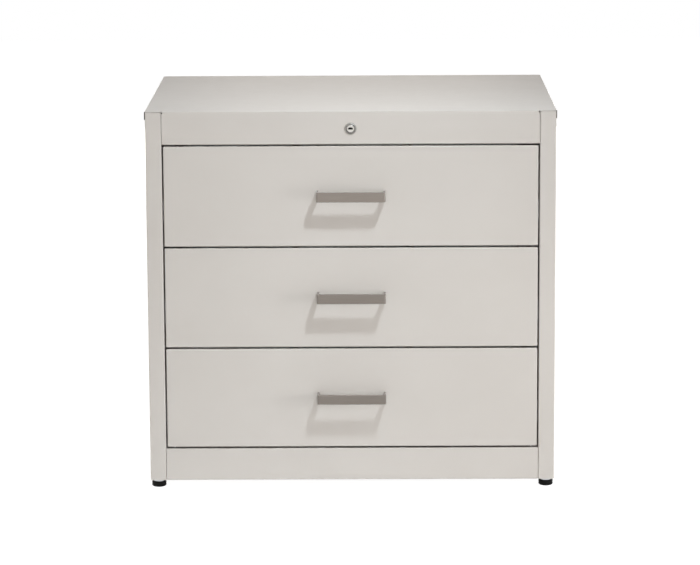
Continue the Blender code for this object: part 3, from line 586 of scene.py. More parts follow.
def make_top_panel():
    """Top, fascia and flanges of one sheet, with relief cuts at its corners, and its rear rivets."""
    half = TOP_HIGH.x
    seam = BASE_HIGH.x
    back = TOP_HIGH.y
    top = TOP_HIGH.z
    relief_half = CORNER_RELIEF / 2
    fascia_end = seam - relief_half
    flange_end = half - CORNER_RELIEF
    front_line = FRONT_Y + CORNER_RELIEF
    back_line = back - CORNER_RELIEF
    bm = flat_sheet((-half, FRONT_Y), (half, back), top)
    for side in (-1, 1):
        cut_across(bm, "X", (side * fascia_end, side * (seam + relief_half), side * flange_end))
    cut_across(bm, "Y", (front_line, back_line))

    def is_relief(middle):
        x = abs(middle.x)
        at_fascia = fascia_end < x < seam + relief_half and middle.y < front_line
        at_corner = x > flange_end and not front_line < middle.y < back_line
        return at_fascia or at_corner

    bmesh.ops.delete(bm, geom=faces_where(bm, is_relief), context="FACES")
    for side in (-1, 1):
        edges = edges_where(bm, lambda co: side * co.x > half - TINY)
        extrude_edges(bm, edges, (0, 0, -TOP_SIDE_FLANGE))
    edges = edges_where(bm, lambda co: co.y > back - TINY)
    extrude_edges(bm, edges, (0, 0, -TOP_REAR_FLANGE))
    edges = edges_where(bm, lambda co: co.y < FRONT_Y + TINY and abs(co.x) < fascia_end + TINY)
    edges = extrude_edges(bm, edges, (0, 0, -CORNER_RELIEF))
    foot = TOP_LOW.z
    extrude_edges(bm, edges, (0, 0, foot - top + CORNER_RELIEF))
    for side in (-1, 1):
        edges = edges_where(
            bm,
            lambda co: co.y < FRONT_Y + TINY
            and side * co.x > fascia_end - TINY
            and side * co.x < fascia_end + TINY
            and co.z < top - CORNER_RELIEF + TINY,
        )
        extrude_edges(bm, edges, (side * relief_half, 0, 0))
    edges = edges_where(bm, lambda co: co.z < foot + TINY)
    extrude_edges(bm, edges, (0, FASCIA_RETURN, 0))
    room = BARREL_DIAMETER * LOCK_HOLE_ROOM

    def on_fascia(middle):
        return middle.y < FRONT_Y + TINY and foot < middle.z < top - CORNER_RELIEF

    cut_across(bm, "X", (-room, room), on_fascia)
    cut_across(bm, "Z", (LOCK_Z - room, LOCK_Z + room), on_fascia)
    drill(bm, (0, FRONT_Y, LOCK_Z), BARREL_DIAMETER / 2 + FIT_GAP)
    round_folds(bm, FOLD_RADIUS)
    thicken(bm, SHEET)
    add_piece("folded_top_panel", bm, PAINT, "cabinet", "top_panel")
    # Painted shade in the open front ends of the side flanges.
    for name, side in SIDES:
        make_corner_painted_shade(f"corner_painted_shade_{name}", side)
    bm = bmesh.new()
    for share in REAR_RIVET_SHARES:
        add_rivet(bm, (share * seam, back, top - TOP_REAR_FLANGE / 2), (0, 1, 0))
    add_piece("rear_flange_rivets", bm, ZINC, "cabinet", edge=0)


def make_corner_painted_shade(name, side):
    """Dark block in the open front end of a side flange, rounded over at the top: painted shade for
    the shadow in the flange end.
    """
    inner = SIDE_HIGH.x + CORNER_SHADE_PLAY
    outer = TOP_HIGH.x
    low = TOP_HIGH.z - TOP_SIDE_FLANGE
    top = TOP_HIGH.z
    outline = ((inner, low), (outer, low), (outer, top), (inner, top))
    bm = bmesh.new()
    corners = [bm.verts.new((side * x, FRONT_Y + CORNER_SHADE_SETBACK, z)) for x, z in outline]
    bm.faces.new(corners)
    round_corners(bm, [corners[2]], FOLD_RADIUS / 2)
    extrude_outline(bm, (0, CORNER_RELIEF - CORNER_SHADE_SETBACK - CORNER_SHADE_PLAY, 0))
    add_piece(name, bm, BLACK_PLASTIC_AND_SHADE, "cabinet")


def foot_places(name):
    """The middle of each foot on the named side of the cabinet."""
    for end in FOOT_ENDS:
        low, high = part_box(f"foot_{end}_{name}")
        middle = (low + high) / 2
        yield f"{end}_{name}", Vector((middle.x, middle.y, 0))


def make_post_plate(name, side, z, holes):
    """Plate that closes the side panel's section, with holes for the feet."""
    inner = side * (SIDE_LOW.x + SHEET)
    outer = side * (SIDE_HIGH.x - SHEET)
    low = (min(inner, outer), SIDE_LOW.y + SHEET)
    high = (max(inner, outer), SIDE_HIGH.y - SHEET)
    bm = flat_sheet(low, high, z)
    if holes:
        room = COLLAR_DIAMETER * FOOT_HOLE_ROOM
        cut_across(bm, "X", (holes[0].x - room, holes[0].x + room))
        for hole in holes:
            cut_across(bm, "Y", (hole.y - room, hole.y + room))
        for hole in holes:
            drill(bm, (hole.x, hole.y, z), STUD_DIAMETER / 2 + FIT_GAP)
    thicken(bm, POST_PLATE, (0, 0, 1))
    add_piece(name, bm, PAINT, "cabinet")


def make_side_panel(side_name, side):
    """Side folded into its two posts, with the plates that close it and the collars of the feet."""
    name = f"side_panel_{side_name}"
    inner = SIDE_LOW.x
    outer = SIDE_HIGH.x
    front = SIDE_LOW.y
    rear = SIDE_HIGH.y
    path = (
        (inner, front + POST_RETURN),
        (inner, front),
        (outer, front),
        (outer, rear),
        (inner, rear),
        (inner, rear - POST_RETURN),
    )
    points = [(side * x, y, POST_END_Z) for x, y in path]
    bm = swept_sheet(points, (0, 0, SIDE_HIGH.z - POST_END_Z))
    round_folds(bm, FOLD_RADIUS)
    thicken(bm, SHEET)
    add_piece(f"folded_{name}", bm, PAINT, "cabinet", name)
    feet = dict(foot_places(side_name))
    foot_plate_z = POST_END_Z + POST_PLATE + SHEET / 2
    make_post_plate(f"post_foot_plate_{side_name}", side, foot_plate_z, list(feet.values()))
    make_post_plate(f"post_head_plate_{side_name}", side, SIDE_HIGH.z - SHEET / 2, [])
    for foot, place in feet.items():
        make_collar(f"foot_collar_{foot}", place)


def make_collar(name, place):
    """Flanged bush in the post end, threaded for the foot's stud."""
    bore = STUD_DIAMETER / 2 + FIT_GAP
    flange = COLLAR_DIAMETER / 2
    bush = BUSH_DIAMETER / 2
    low = SIDE_LOW.z
    seat = POST_END_Z - COLLAR_GAP
    high = POST_END_Z + BUSH_LENGTH
    profile = (
        (bore, low),
        *edge_profile(flange, low, COLLAR_EDGE),
        (flange, seat),
        (bush, seat),
        (bush, high),
        (bore, high),
        (bore, low),
    )
    bm = bmesh.new()
    lathe(bm, profile, place, (0, 0, 1), FOOT_STEPS)
    add_piece(name, bm, ZINC, "cabinet", edge=0)


def make_back_panel():
    low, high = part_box("back_panel")
    path = (
        (low.x, high.y - BACK_SIDE_FLANGE),
        (low.x, high.y),
        (high.x, high.y),
        (high.x, high.y - BACK_SIDE_FLANGE),
    )
    bm = swept_sheet([(x, y, low.z) for x, y in path], (0, 0, high.z - low.z))
    round_folds(bm, FOLD_RADIUS)
    thicken(bm, SHEET)
    add_piece("folded_back_panel", bm, PAINT, "cabinet", "back_panel")


def make_base_panel():
    """Base with the plinth folded up in front, notched at the back beside the back panel's flanges."""
    low = BASE_LOW
    high = BASE_HIGH
    path = (
        (low.y + PLINTH_RETURN, high.z - RETURN_TAPER),
        (low.y, high.z),
        (low.y, low.z),
        (high.y, low.z),
        (high.y, low.z + BASE_REAR_FLANGE),
    )
    bm = swept_sheet([(low.x, y, z) for y, z in path], (high.x - low.x, 0, 0))
    notch_x = high.x - FOLD_RADIUS - FIT_GAP
    notch_y = SIDE_HIGH.y - BACK_SIDE_FLANGE - FIT_GAP
    cut_across(bm, "X", (-notch_x, notch_x))
    cut_across(bm, "Y", (notch_y,))
    corners = faces_where(bm, lambda middle: abs(middle.x) > notch_x and middle.y > notch_y)
    bmesh.ops.delete(bm, geom=corners, context="FACES")
    round_folds(bm, FOLD_RADIUS)
    thicken(bm, SHEET)
    add_piece("folded_base_panel", bm, PAINT, "cabinet", "base_panel")


def make_foot(name):
    """Black foot with a rim line above its chamfer, on a threaded stud."""
    low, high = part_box(name)
    place = Vector(((low.x + high.x) / 2, (low.y + high.y) / 2, 0))
    rim = (high.x - low.x) / 2
    top = SIDE_LOW.z - FIT_GAP
    stud = STUD_DIAMETER / 2
    seat = stud + STUD_PLAY
    profile = (
        (0, FOOT_SOLE_RECESS),
        *edge_profile(FOOT_CONTACT_DIAMETER / 2, 0, FOOT_SOLE),
        *edge_profile(rim, FOOT_RIM_HEIGHT, FOOT_RIM),
        *edge_profile(rim, FOOT_GROOVE_HEIGHT, FOOT_GROOVE),
        *edge_profile(rim, top, FOOT_CROWN),
        (seat, top),
        (seat, top - STUD_SEAT_DEPTH),
        (0, top - STUD_SEAT_DEPTH),
    )
    bm = bmesh.new()
    lathe(bm, profile, place, (0, 0, 1), FOOT_STEPS)
    add_piece(f"{name}_base", bm, BLACK_PLASTIC_AND_SHADE, name, name, edge=0)
    core = stud - THREAD_DEPTH
    thread = [(0, top - STUD_ROOT), (core, top - STUD_ROOT)]
    for turn in range(int((high.z - top) / THREAD_PITCH)):
        z = top + turn * THREAD_PITCH
        thread.append((core, z))
        for share in THREAD_CREST:
            thread.append((stud, z + THREAD_PITCH * share))
    thread.append((core, high.z))
    thread.append((0, high.z))
    bm = bmesh.new()
    lathe(bm, thread, place, (0, 0, 1), STUD_STEPS)
    add_piece(f"{name}_stud", bm, ZINC, name, edge=0)


# Drawers

def draw_in(edges, middle, distance):
    """Moves a rectangle of edges inwards on all four sides."""
    for vert in {vert for edge in edges for vert in edge.verts}:
        vert.co.x -= math.copysign(distance, vert.co.x - middle.x)
        vert.co.z -= math.copysign(distance, vert.co.z - middle.z)


def make_front(number):
    """Drawer front folded as a pan, with a lip round its back."""
    low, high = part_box(f"drawer_{number}_front")
    bm = bmesh.new()
    corners = ((low.x, low.z), (high.x, low.z), (high.x, high.z), (low.x, high.z))
    face = bm.faces.new([bm.verts.new((x, low.y, z)) for x, z in corners])
    rim = extrude_edges(bm, face.edges[:], (0, high.y - low.y, 0))
    draw_in(rim, (low + high) / 2, RETURN_TAPER)
    rim = extrude_edges(bm, rim, (0, 0, 0))
    draw_in(rim, (low + high) / 2, FRONT_LIP)
    round_folds(bm, FOLD_RADIUS)
    thicken(bm, SHEET)
    add_piece(f"drawer_{number}_folded_front", bm, PAINT, f"drawer_{number}", f"drawer_{number}_front")


def make_handle(number):
    """Bow handle of flat bar, and the two screws that hold it from inside the front."""
    low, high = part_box(f"drawer_{number}_handle")
    inner = high.x - HANDLE_LEG
    bar = low.y + HANDLE_BAR
    outline = (
        (low.x, high.y), (low.x, low.y), (high.x, low.y), (high.x, high.y),
        (inner, high.y), (inner, bar), (-inner, bar), (-inner, high.y),
    )
    bm = bmesh.new()
    points = [bm.verts.new((x, y, low.z)) for x, y in outline]
    bm.faces.new(points)
    round_corners(bm, points[1:3], HANDLE_OUTER_RADIUS)
    inside = [
        vert for vert in bm.verts
        if abs(abs(vert.co.x) - inner) < TINY and abs(vert.co.y - bar) < TINY
    ]
    round_corners(bm, inside, HANDLE_INNER_RADIUS)
    extrude_outline(bm, (0, 0, high.z - low.z))
    made = add_piece(
        f"drawer_{number}_bow_handle", bm, SATIN_METAL, f"drawer_{number}", f"drawer_{number}_handle",
        edge=HANDLE_EDGE,
    )
    made.modifiers["softened_edges"].segments = HANDLE_EDGE_STEPS
    bm = bmesh.new()
    front_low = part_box(f"drawer_{number}_front")[0]
    for side in (-1, 1):
        place = (side * (high.x - HANDLE_LEG / 2), front_low.y + SHEET, (low.z + high.z) / 2)
        add_screw(bm, place, (0, 1, 0))
    add_piece(f"drawer_{number}_handle_screws", bm, ZINC, f"drawer_{number}", edge=0)


def row_middles(number):
    for row in ROWS:
        low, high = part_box(f"drawer_{number}_follower_{row}")
        yield row, (low.x + high.x) / 2


def make_tray(number):
    """Tray folded with lips on its side walls, and a slot in its floor for each follower's guide."""
    low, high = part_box(f"drawer_{number}_tray")
    wall = high.x - TRAY_LIP
    rim = high.z - SHEET
    bm = flat_sheet((-wall, low.y), (wall, high.y), low.z)
    extrude_edges(bm, bm.edges[:], (0, 0, rim - low.z))
    lip_front = low.y + TRAY_LIP_RELIEF
    lip_back = high.y - TRAY_LIP_RELIEF
    cut_across(bm, "Y", (lip_front, lip_back), lambda middle: abs(middle.x) > wall - TINY)
    for side in (-1, 1):
        edges = edges_where(
            bm,
            lambda co: side * co.x > wall - TINY
            and co.z > rim - TINY
            and lip_front - TINY < co.y < lip_back + TINY,
        )
        extrude_edges(bm, edges, (side * TRAY_LIP, 0, 0))
    follower_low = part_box(f"drawer_{number}_follower_centre")[0]
    guide_y = follower_low.y + FOLLOWER_BASE / 2
    slide = f"drawer_{number}_follower_centre_slide"
    travel = next(joint["range_m"][1] for joint in frame["joints"] if joint["name"] == slide)
    slot_back = guide_y + SLOT_END_ROOM
    slot_front = guide_y - travel - SLOT_END_ROOM
    half = SLOT_WIDTH / 2

    def on_floor(place):
        return place.z < low.z + TINY

    def in_slots(place):
        return on_floor(place) and slot_front < place.y < slot_back

    cut_across(bm, "Y", (slot_front, slot_back), on_floor)
    for _, x in row_middles(number):
        cut_across(bm, "X", (x - half, x + half), in_slots)
        slot = faces_where(bm, lambda middle: in_slots(middle) and abs(middle.x - x) < half)
        bmesh.ops.delete(bm, geom=slot, context="FACES_ONLY")
    for _, x in row_middles(number):
        for end, direction in ((slot_front, -1), (slot_back, 1)):
            short = edges_where(
                bm,
                lambda co: abs(co.y - end) < TINY and abs(co.x - x) < half + TINY and on_floor(co),
            )
            scoop(bm, short[0], (0, direction, 0), SLOT_END_STEPS)
    round_folds(bm, TRAY_CORNER, SMALL_FOLD_STEPS)
    thicken(bm, SHEET)
    add_piece(f"drawer_{number}_folded_tray", bm, PAINT, f"drawer_{number}", f"drawer_{number}_tray")
    make_tray_fasteners(number, low, high, wall)


def make_tray_fasteners(number, low, high, wall):
    """Screws to the drawer front and the runners, rivets of the dividers and the lock catch."""
    bm = bmesh.new()
    for column in FRONT_SCREW_COLUMNS:
        for row in FRONT_SCREW_ROWS:
            place = (column * wall, low.y + SHEET, low.z + row * (high.z - low.z))
            add_screw(bm, place, (0, 1, 0))
    runner_low, runner_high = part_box(f"runner_{number}_inner_right")
    runner_z = (runner_low.z + runner_high.z) / 2
    for side in (-1, 1):
        for share in RUNNER_SCREW_SHARES:
            y = low.y + share * (high.y - low.y)
            add_screw(bm, (side * (wall - SHEET), y, runner_z), (-side, 0, 0))
    add_piece(f"drawer_{number}_tray_screws", bm, ZINC, f"drawer_{number}", edge=0)
    bm = bmesh.new()
    for side_name, side in SIDES:
        divider_low, divider_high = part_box(f"drawer_{number}_divider_{side_name}")
        x = (divider_low.x + divider_high.x) / 2
        for share in DIVIDER_RIVET_SHARES:
            y = divider_low.y + share * (divider_high.y - divider_low.y)
            add_rivet(bm, (x + side * SHEET / 2, y, divider_low.z + SHEET), (0, 0, 1))
    catch_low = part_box(f"drawer_{number}_lock_catch")[0]
    z = catch_low.z + CATCH_RIVET_HEIGHT
    for x in CATCH_RIVET_COLUMNS:
        add_rivet(bm, (x, high.y - SHEET, z), (0, -1, 0))
        add_rivet(bm, (x, catch_low.y + CATCH_SHEET, z), (0, 1, 0))
    add_piece(f"drawer_{number}_rivets", bm, ZINC, f"drawer_{number}", edge=0)


def make_dividers(number):
    """Dividers with a foot flange and a hemmed upper edge."""
    for side_name, side in SIDES:
        name = f"drawer_{number}_divider_{side_name}"
        low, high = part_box(name)
        near = min(abs(low.x), abs(high.x))
        path = (
            (near + DIVIDER_FLANGE, low.z),
            (near, low.z),
            (near, high.z),
            (near + 2 * SHEET, high.z),
            (near + 2 * SHEET, high.z - DIVIDER_HEM),
        )
        bm = swept_sheet([(side * x, low.y, z) for x, z in path], (0, high.y - low.y, 0))
        round_folds(bm, DIVIDER_BEND, SMALL_FOLD_STEPS)
        thicken(bm, DIVIDER_SHEET)
        add_piece(f"{name}_sheet", bm, PAINT, f"drawer_{number}", name)


def end_verts(bm, low_x, high_x):
    """Points at both ends of a sheet that runs along X."""
    return [vert for vert in bm.verts if vert.co.x < low_x + TINY or vert.co.x > high_x - TINY]


def make_followers(number):
    """Leaning plates with a finger notch, each on a headed guide that runs in the tray's slot."""
    tray_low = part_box(f"drawer_{number}_tray")[0]
    foot = tray_low.z + SHEET + FIT_GAP
    half_notch = FINGER_NOTCH / 2
    for row, x in row_middles(number):
        name = f"drawer_{number}_follower_{row}"
        low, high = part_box(name)
        bend = low.y + FOLLOWER_BASE
        top = high.z - FOLLOWER_SHEET * math.sin(FOLLOWER_LEAN)
        lean = Vector((0, math.sin(FOLLOWER_LEAN), math.cos(FOLLOWER_LEAN)))
        path = ((low.y, foot), (bend, foot), (bend + (top - foot) * math.tan(FOLLOWER_LEAN), top))
        bm = swept_sheet([(low.x, y, z) for y, z in path], (high.x - low.x, 0, 0))
        cut_across(bm, "X", (x - half_notch, x + half_notch), lambda middle: middle.z > foot + TINY)
        notch = edges_where(bm, lambda co: co.z > top - TINY and abs(co.x - x) < half_notch + TINY)
        scoop(bm, notch[0], -lean, FINGER_NOTCH_STEPS)
        upper = [vert for vert in end_verts(bm, low.x, high.x) if vert.co.z > top - TINY]
        round_corners(bm, upper, FOLLOWER_CORNER)
        lower = [vert for vert in end_verts(bm, low.x, high.x) if vert.co.y < low.y + TINY]
        round_corners(bm, lower, FOLLOWER_FOOT_CORNER)
        round_folds(bm, FOLLOWER_BEND)
        thicken(bm, FOLLOWER_SHEET)
        add_piece(f"{name}_plate", bm, ZINC, name, name)
        plate = foot + FOLLOWER_SHEET
        head_top = tray_low.z - FIT_GAP
        head = GUIDE_HEAD_DIAMETER / 2
        guide = (
            *((radius, plate + height) for radius, height in GUIDE_DOME),
            (GUIDE_DIAMETER / 2, plate),
            (GUIDE_DIAMETER / 2, head_top),
            (head, head_top),
            (head, head_top - GUIDE_HEAD_WALL),
            (head - GUIDE_HEAD_EDGE, head_top - GUIDE_HEAD_HEIGHT),
            (0, head_top - GUIDE_HEAD_HEIGHT),
        )
        bm = bmesh.new()
        lathe(bm, guide, (x, low.y + FOLLOWER_BASE / 2, 0), (0, 0, 1), GUIDE_STEPS)
        add_piece(f"{name}_guide", bm, ZINC, name, edge=0)


def make_catch(number):
    """Hooked plate on the tray's back that the lock bar holds."""
    name = f"drawer_{number}_lock_catch"
    low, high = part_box(name)
    path = (
        (low.y, low.z),
        (low.y, high.z),
        (high.y, high.z),
        (high.y, high.z - CATCH_LIP),
    )
    bm = swept_sheet([(low.x, y, z) for y, z in path], (high.x - low.x, 0, 0))
    round_folds(bm, CATCH_BEND)
    thicken(bm, CATCH_SHEET)
    add_piece(f"{name}_bracket", bm, ZINC, f"drawer_{number}", name, edge=CATCH_EDGE)


def make_runners(number):
    """Rolled members: two channels that hold each other and a hat section on the tray."""
    step = RUNNER_SHEET + RUNNER_PLAY
    bodies = {"outer": "cabinet", "middle": f"runner_{number}", "inner": f"drawer_{number}"}
    for side_name, side in SIDES:
        boxes = {}
        for member in bodies:
            low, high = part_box(f"runner_{number}_{member}_{side_name}")
            boxes[member] = (sorted((side * low.x, side * high.x)), low, high)
        for member, body in bodies.items():
            (near, seat), low, high = boxes[member]
            if member == "inner":
                (middle_near, _), middle_low, middle_high = boxes["middle"]
                step_x = middle_near + step
                rise = (low.z + high.z) / 2
                neck = (middle_high.z - middle_low.z) / 2 - RUNNER_LIP - RUNNER_PLAY
                path = (
                    (seat, low.z), (step_x, low.z), (step_x, rise - neck), (near, rise - neck),
                    (near, rise + neck), (step_x, rise + neck), (step_x, high.z), (seat, high.z),
                )
            else:
                path = (
                    (near, high.z - RUNNER_LIP), (near, high.z), (seat, high.z),
                    (seat, low.z), (near, low.z), (near, low.z + RUNNER_LIP),
                )
            bm = swept_sheet([(side * x, low.y, z) for x, z in path], (0, high.y - low.y, 0))
            round_folds(bm, RUNNER_BEND, SMALL_FOLD_STEPS)
            thicken(bm, RUNNER_SHEET)
            name = f"runner_{number}_{member}_{side_name}"
            add_piece(f"{name}_rolled", bm, ZINC, body, name)


# Lock

def paint_shade_on_faces(piece, test):
    """Gives the painted shade to the lock piece's faces that pass a test of their place on the lock.
    """
    piece.data.materials.append(KEYWAY_PAINTED_SHADE)
    for face in piece.data.polygons:
        if test(face.center - Vector((0, FRONT_Y, LOCK_Z))):
            face.material_index = 1


def make_lock_housing():
    """Bezel with a groove, barrel and ring nut, turned about the lock's axis."""
    bore = PLUG_DIAMETER / 2 + FIT_GAP
    bezel = BEZEL_DIAMETER / 2
    barrel = BARREL_DIAMETER / 2
    nut = NUT_DIAMETER / 2
    nut_front = -SHEET - FIT_GAP

    def is_groove(middle):
        radius = middle.xz.length
        height = -middle.y
        in_ring = bezel - BEZEL_GROOVE_INNER < radius < bezel - BEZEL_GROOVE_OUTER and height > 0
        in_mouth = radius < bore + PAINTED_SHADE_MOUTH
        return (in_ring or in_mouth) and height < BEZEL_HEIGHT - PAINTED_SHADE_DEPTH

    profile = (
        (bore, -BARREL_LENGTH),
        *edge_profile(bore, BEZEL_HEIGHT, BEZEL_MOUTH),
        *edge_profile(bezel, BEZEL_HEIGHT, BEZEL_RIM),
        (bezel, FIT_GAP),
        (barrel, FIT_GAP),
        (barrel, nut_front),
        (nut, nut_front),
        (nut, nut_front - NUT_HEIGHT),
        (barrel, nut_front - NUT_HEIGHT),
        (barrel, -BARREL_LENGTH),
        (bore, -BARREL_LENGTH),
    )
    bm = bmesh.new()
    lathe(bm, profile, (0, FRONT_Y, LOCK_Z), (0, -1, 0), LOCK_STEPS)
    made = add_piece("lock_bezel_and_barrel", bm, BEZEL_NICKEL_PAINTED_SHADE, "cabinet", "lock_housing", edge=0)
    # Painted shade in the bezel's groove and mouth.
    paint_shade_on_faces(made, is_groove)


def make_lock_plug():
    """Turned plug with an arched key slot in its face and a socket for the rod behind."""
    radius = PLUG_DIAMETER / 2
    face = BEZEL_HEIGHT - PLUG_RECESS
    socket = ROD_DIAMETER / 2 + FIT_GAP
    length = BARREL_LENGTH + SOCKET_DEPTH
    profile = (
        *edge_profile(radius, face, PLUG_EDGE),
        (radius, -length),
        (socket, -length),
        (socket, -BARREL_LENGTH),
        (0, -BARREL_LENGTH),
    )
    bm = bmesh.new()
    lathe(bm, profile, (0, FRONT_Y, LOCK_Z), (0, -1, 0), LOCK_STEPS)
    face_y = FRONT_Y - face
    rim = edges_where(bm, lambda co: co.y < face_y + TINY)
    slot = []
    for step in range(LOCK_STEPS):
        turn = step / LOCK_STEPS * math.tau
        across = abs(math.cos(turn)) / (KEYWAY_WIDTH / 2)
        upwards = abs(math.sin(turn)) / (KEYWAY_HEIGHT / 2)
        reach = 1 / max(across, upwards)
        x = reach * math.cos(turn)
        z = reach * math.sin(turn)
        if z > 0:
            z += KEYWAY_ARCH * (1 - (2 * x / KEYWAY_WIDTH) ** 2)
        slot.append(bm.verts.new((x, face_y, LOCK_Z + z)))
    mouth = [bm.edges.new(pair) for pair in zip(slot, slot[1:] + slot[:1])]
    bmesh.ops.triangle_fill(bm, edges=rim + mouth, use_beauty=True)
    inner = extrude_edges(bm, mouth, (0, KEYWAY_DEPTH, 0))
    bmesh.ops.contextual_create(bm, geom=inner)
    made = add_piece("lock_plug_turned", bm, PLUG_NICKEL, "lock", "lock_plug", edge=0)

    def is_keyway(middle):
        in_slot = abs(middle.x) < KEYWAY_WIDTH / 2 + TINY and abs(middle.z) < KEYWAY_HEIGHT
        return in_slot and TINY < middle.y + face < KEYWAY_DEPTH + TINY

    # Painted shade inside the keyway.
    paint_shade_on_faces(made, is_keyway)


def finish_locking_train():
    """The train's own solids, with softened edges and rivets on its brackets."""
    for name, width in TRAIN_EDGES.items():
        node = frame["nodes"][name]
        node.data.materials.clear()
        node.data.materials.append(ZINC)
        weld = node.modifiers.new("joined_corners", "WELD")
        weld.merge_threshold = TINY
        even = node.modifiers.new("even_sheet", "DECIMATE")
        even.decimate_type = "DISSOLVE"
        even.angle_limit = FLAT_ANGLE
        soften_edges(node, width)
    bm = bmesh.new()
    for name in ("lock_bracket", "lock_bar_guide"):
        low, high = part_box(name)
        for side in (-1, 1):
            x = side * (high.x - BRACKET_RIVET_INSET)
            for row in BRACKET_RIVET_ROWS:
                place = (x, high.y - BRACKET_SHEET, low.z + row * (high.z - low.z))
                add_rivet(bm, place, (0, -1, 0))
    add_piece("bracket_rivets", bm, ZINC, "cabinet", edge=0)


# Camera and studio

CAMERA_PLACE = Vector((0.03408, -6.15183, 1.48860))
CAMERA_PITCH = math.radians(10.46347)
CAMERA_YAW = math.radians(-0.35711)
CAMERA_ROLL = math.radians(-0.29663)
CAMERA_LENS = 159.72
WHITE = (1, 1, 1)
WARM_WHITE = (1.0, 0.95, 0.91)
FLOOR_REACH = 8
FLOOR_TINT = (0.75, 0.75, 0.75)
FLOOR_SHADED_TINT = (0.5, 0.5, 0.5)  # what shows the object's shadow on the white floor
FLOOR_GLOW = 0.9
FULL_SPREAD = 180


def make_camera():
    ahead = Vector((
        math.sin(CAMERA_YAW) * math.cos(CAMERA_PITCH),
        math.cos(CAMERA_YAW) * math.cos(CAMERA_PITCH),
        -math.sin(CAMERA_PITCH),
    ))
    level = Vector((math.cos(CAMERA_YAW), -math.sin(CAMERA_YAW), 0))
    upright = level.cross(ahead)
    right = math.cos(CAMERA_ROLL) * level + math.sin(CAMERA_ROLL) * upright
    up = math.cos(CAMERA_ROLL) * upright - math.sin(CAMERA_ROLL) * level
    data = bpy.data.cameras.new("photo_camera")
    data.sensor_width = 36
    data.lens = CAMERA_LENS
    data.clip_end = 50
    camera = bpy.data.objects.new("photo_camera", data)
    bpy.context.scene.collection.objects.link(camera)
    turn = Matrix((right, up, -ahead)).transposed().to_4x4()
    camera.matrix_world = Matrix.Translation(CAMERA_PLACE) @ turn
    bpy.context.scene.camera = camera


def seen_directly(tree):
    """1 for rays from the camera, mirror rays and rays through glass, otherwise 0."""
    path = tree.nodes.new("ShaderNodeLightPath")
    total = path.outputs["Is Camera Ray"]
    for kind in ("Is Glossy Ray", "Is Transmission Ray"):
        either = tree.nodes.new("ShaderNodeMath")
        either.operation = "MAXIMUM"
        tree.links.new(total, either.inputs[0])
        tree.links.new(path.outputs[kind], either.inputs[1])
        total = either.outputs["Value"]
    return total


def shade(tree, kind, colour, strength=None):
    """A shader of one colour; returns its output."""
    shader = tree.nodes.new(kind)
    shader.inputs["Color"].default_value = (*colour, 1)
    if strength is not None:
        shader.inputs["Strength"].default_value = strength
    return shader.outputs[0]


def show_by_path(tree, lighting, seen, output_kind):
    """Lights the scene with one shader, and shows the other to rays that see it directly."""
    either = tree.nodes.new("ShaderNodeMixShader")
    output = tree.nodes.new(output_kind)
    tree.links.new(seen_directly(tree), either.inputs["Fac"])
    tree.links.new(lighting, either.inputs[1])
    tree.links.new(seen, either.inputs[2])
    tree.links.new(either.outputs["Shader"], output.inputs["Surface"])


def make_world(strength, colour):
    world = bpy.data.worlds.new("studio")
    world.use_nodes = True
    bpy.context.scene.world = world
    tree = world.node_tree
    tree.nodes.clear()
    soft = shade(tree, "ShaderNodeBackground", colour, strength)
    white = shade(tree, "ShaderNodeBackground", WHITE, 1)
    show_by_path(tree, soft, white, "ShaderNodeOutputWorld")


def make_floor():
    """Pale floor that is seen as white, with the object's shadow on it."""
    bm = flat_sheet((-FLOOR_REACH, -FLOOR_REACH), (FLOOR_REACH, FLOOR_REACH), 0)
    mesh = bpy.data.meshes.new("studio_floor")
    bm.to_mesh(mesh)
    bm.free()
    floor = bpy.data.objects.new("studio_floor", mesh)
    bpy.context.scene.collection.objects.link(floor)
    made = bpy.data.materials.new("pale_floor")
    made.use_nodes = True
    tree = made.node_tree
    tree.nodes.clear()
    both = tree.nodes.new("ShaderNodeAddShader")
    tree.links.new(shade(tree, "ShaderNodeEmission", WHITE, FLOOR_GLOW), both.inputs[0])
    tree.links.new(shade(tree, "ShaderNodeBsdfDiffuse", FLOOR_SHADED_TINT), both.inputs[1])
    plain = shade(tree, "ShaderNodeBsdfDiffuse", FLOOR_TINT)
    show_by_path(tree, plain, both.outputs["Shader"], "ShaderNodeOutputMaterial")
    floor.data.materials.append(made)


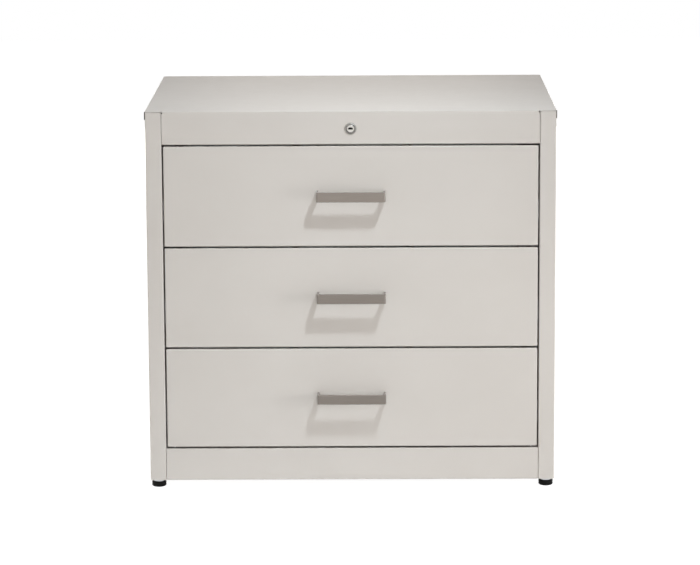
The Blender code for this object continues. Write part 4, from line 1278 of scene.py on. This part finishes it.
def add_lamp(name, place, target, size, power, colour=WHITE, spread=FULL_SPREAD):
    """A softbox of a width and height, whose spread is given in degrees."""
    data = bpy.data.lights.new(name, "AREA")
    data.shape = "RECTANGLE"
    data.size = size[0]
    data.size_y = size[1]
    data.energy = power
    data.color = colour
    data.spread = math.radians(spread)
    lamp = bpy.data.objects.new(name, data)
    bpy.context.scene.collection.objects.link(lamp)
    aim = (Vector(target) - Vector(place)).to_track_quat("-Z", "Y")
    lamp.matrix_world = Matrix.Translation(place) @ aim.to_matrix().to_4x4()
    lamp.visible_camera = False


def light_studio():
    make_world(strength=0.27, colour=(1.0, 0.95, 0.90))
    make_floor()
    front_middle = (0, FRONT_Y, 0.35)
    add_lamp(
        "key_softbox",
        place=(0.74, -1.28, 2.44),
        target=(-0.2, FRONT_Y, 0.2),
        size=(0.18, 0.18),
        power=2.5,
        colour=(0.92, 1.0, 1.06),
        spread=50,
    )
    add_lamp(
        "front_softbox",
        place=(0.1, -5.5, 1.42),
        target=front_middle,
        size=(1.2, 0.7),
        power=64,
        colour=WARM_WHITE,
    )
    add_lamp(
        "left_softbox",
        place=(-2.2, -3.4, 1.1),
        target=front_middle,
        size=(0.7, 0.7),
        power=5,
    )
    add_lamp(
        "right_edge_softbox",
        place=(1.5, -0.85, 0.35),
        target=(0.15, FRONT_Y, 0.2),
        size=(0.5, 0.6),
        power=1.25,
        spread=60,
    )
    add_lamp(
        "back_softbox",
        place=(0, 3.0, 1.6),
        target=(0, 0, TOP_HIGH.z),
        size=(1.0, 1.0),
        power=6.3,
        colour=(1.0, 0.90, 0.80),
    )
    fills = (
        ("left", (-5.0, 0.6, 0.5), 85),
        ("right", (5.0, 0.6, 0.5), 20),
        ("rear", (0, 5.0, 0.5), 75),
    )
    for name, place, power in fills:
        add_lamp(f"{name}_fill_softbox", place, (0, 0, 0.4), (3.0, 0.8), power, WARM_WHITE)


make_top_panel()
for side_name, side_sign in SIDES:
    make_side_panel(side_name, side_sign)
make_back_panel()
make_base_panel()
for foot_end in FOOT_ENDS:
    for side_name, _ in SIDES:
        make_foot(f"foot_{foot_end}_{side_name}")
for drawer in DRAWERS:
    make_front(drawer)
    make_handle(drawer)
    make_tray(drawer)
    make_dividers(drawer)
    make_followers(drawer)
    make_catch(drawer)
    make_runners(drawer)
make_lock_housing()
make_lock_plug()
finish_locking_train()
make_camera()
light_studio()
bpy.context.scene.view_settings.view_transform = "Standard"
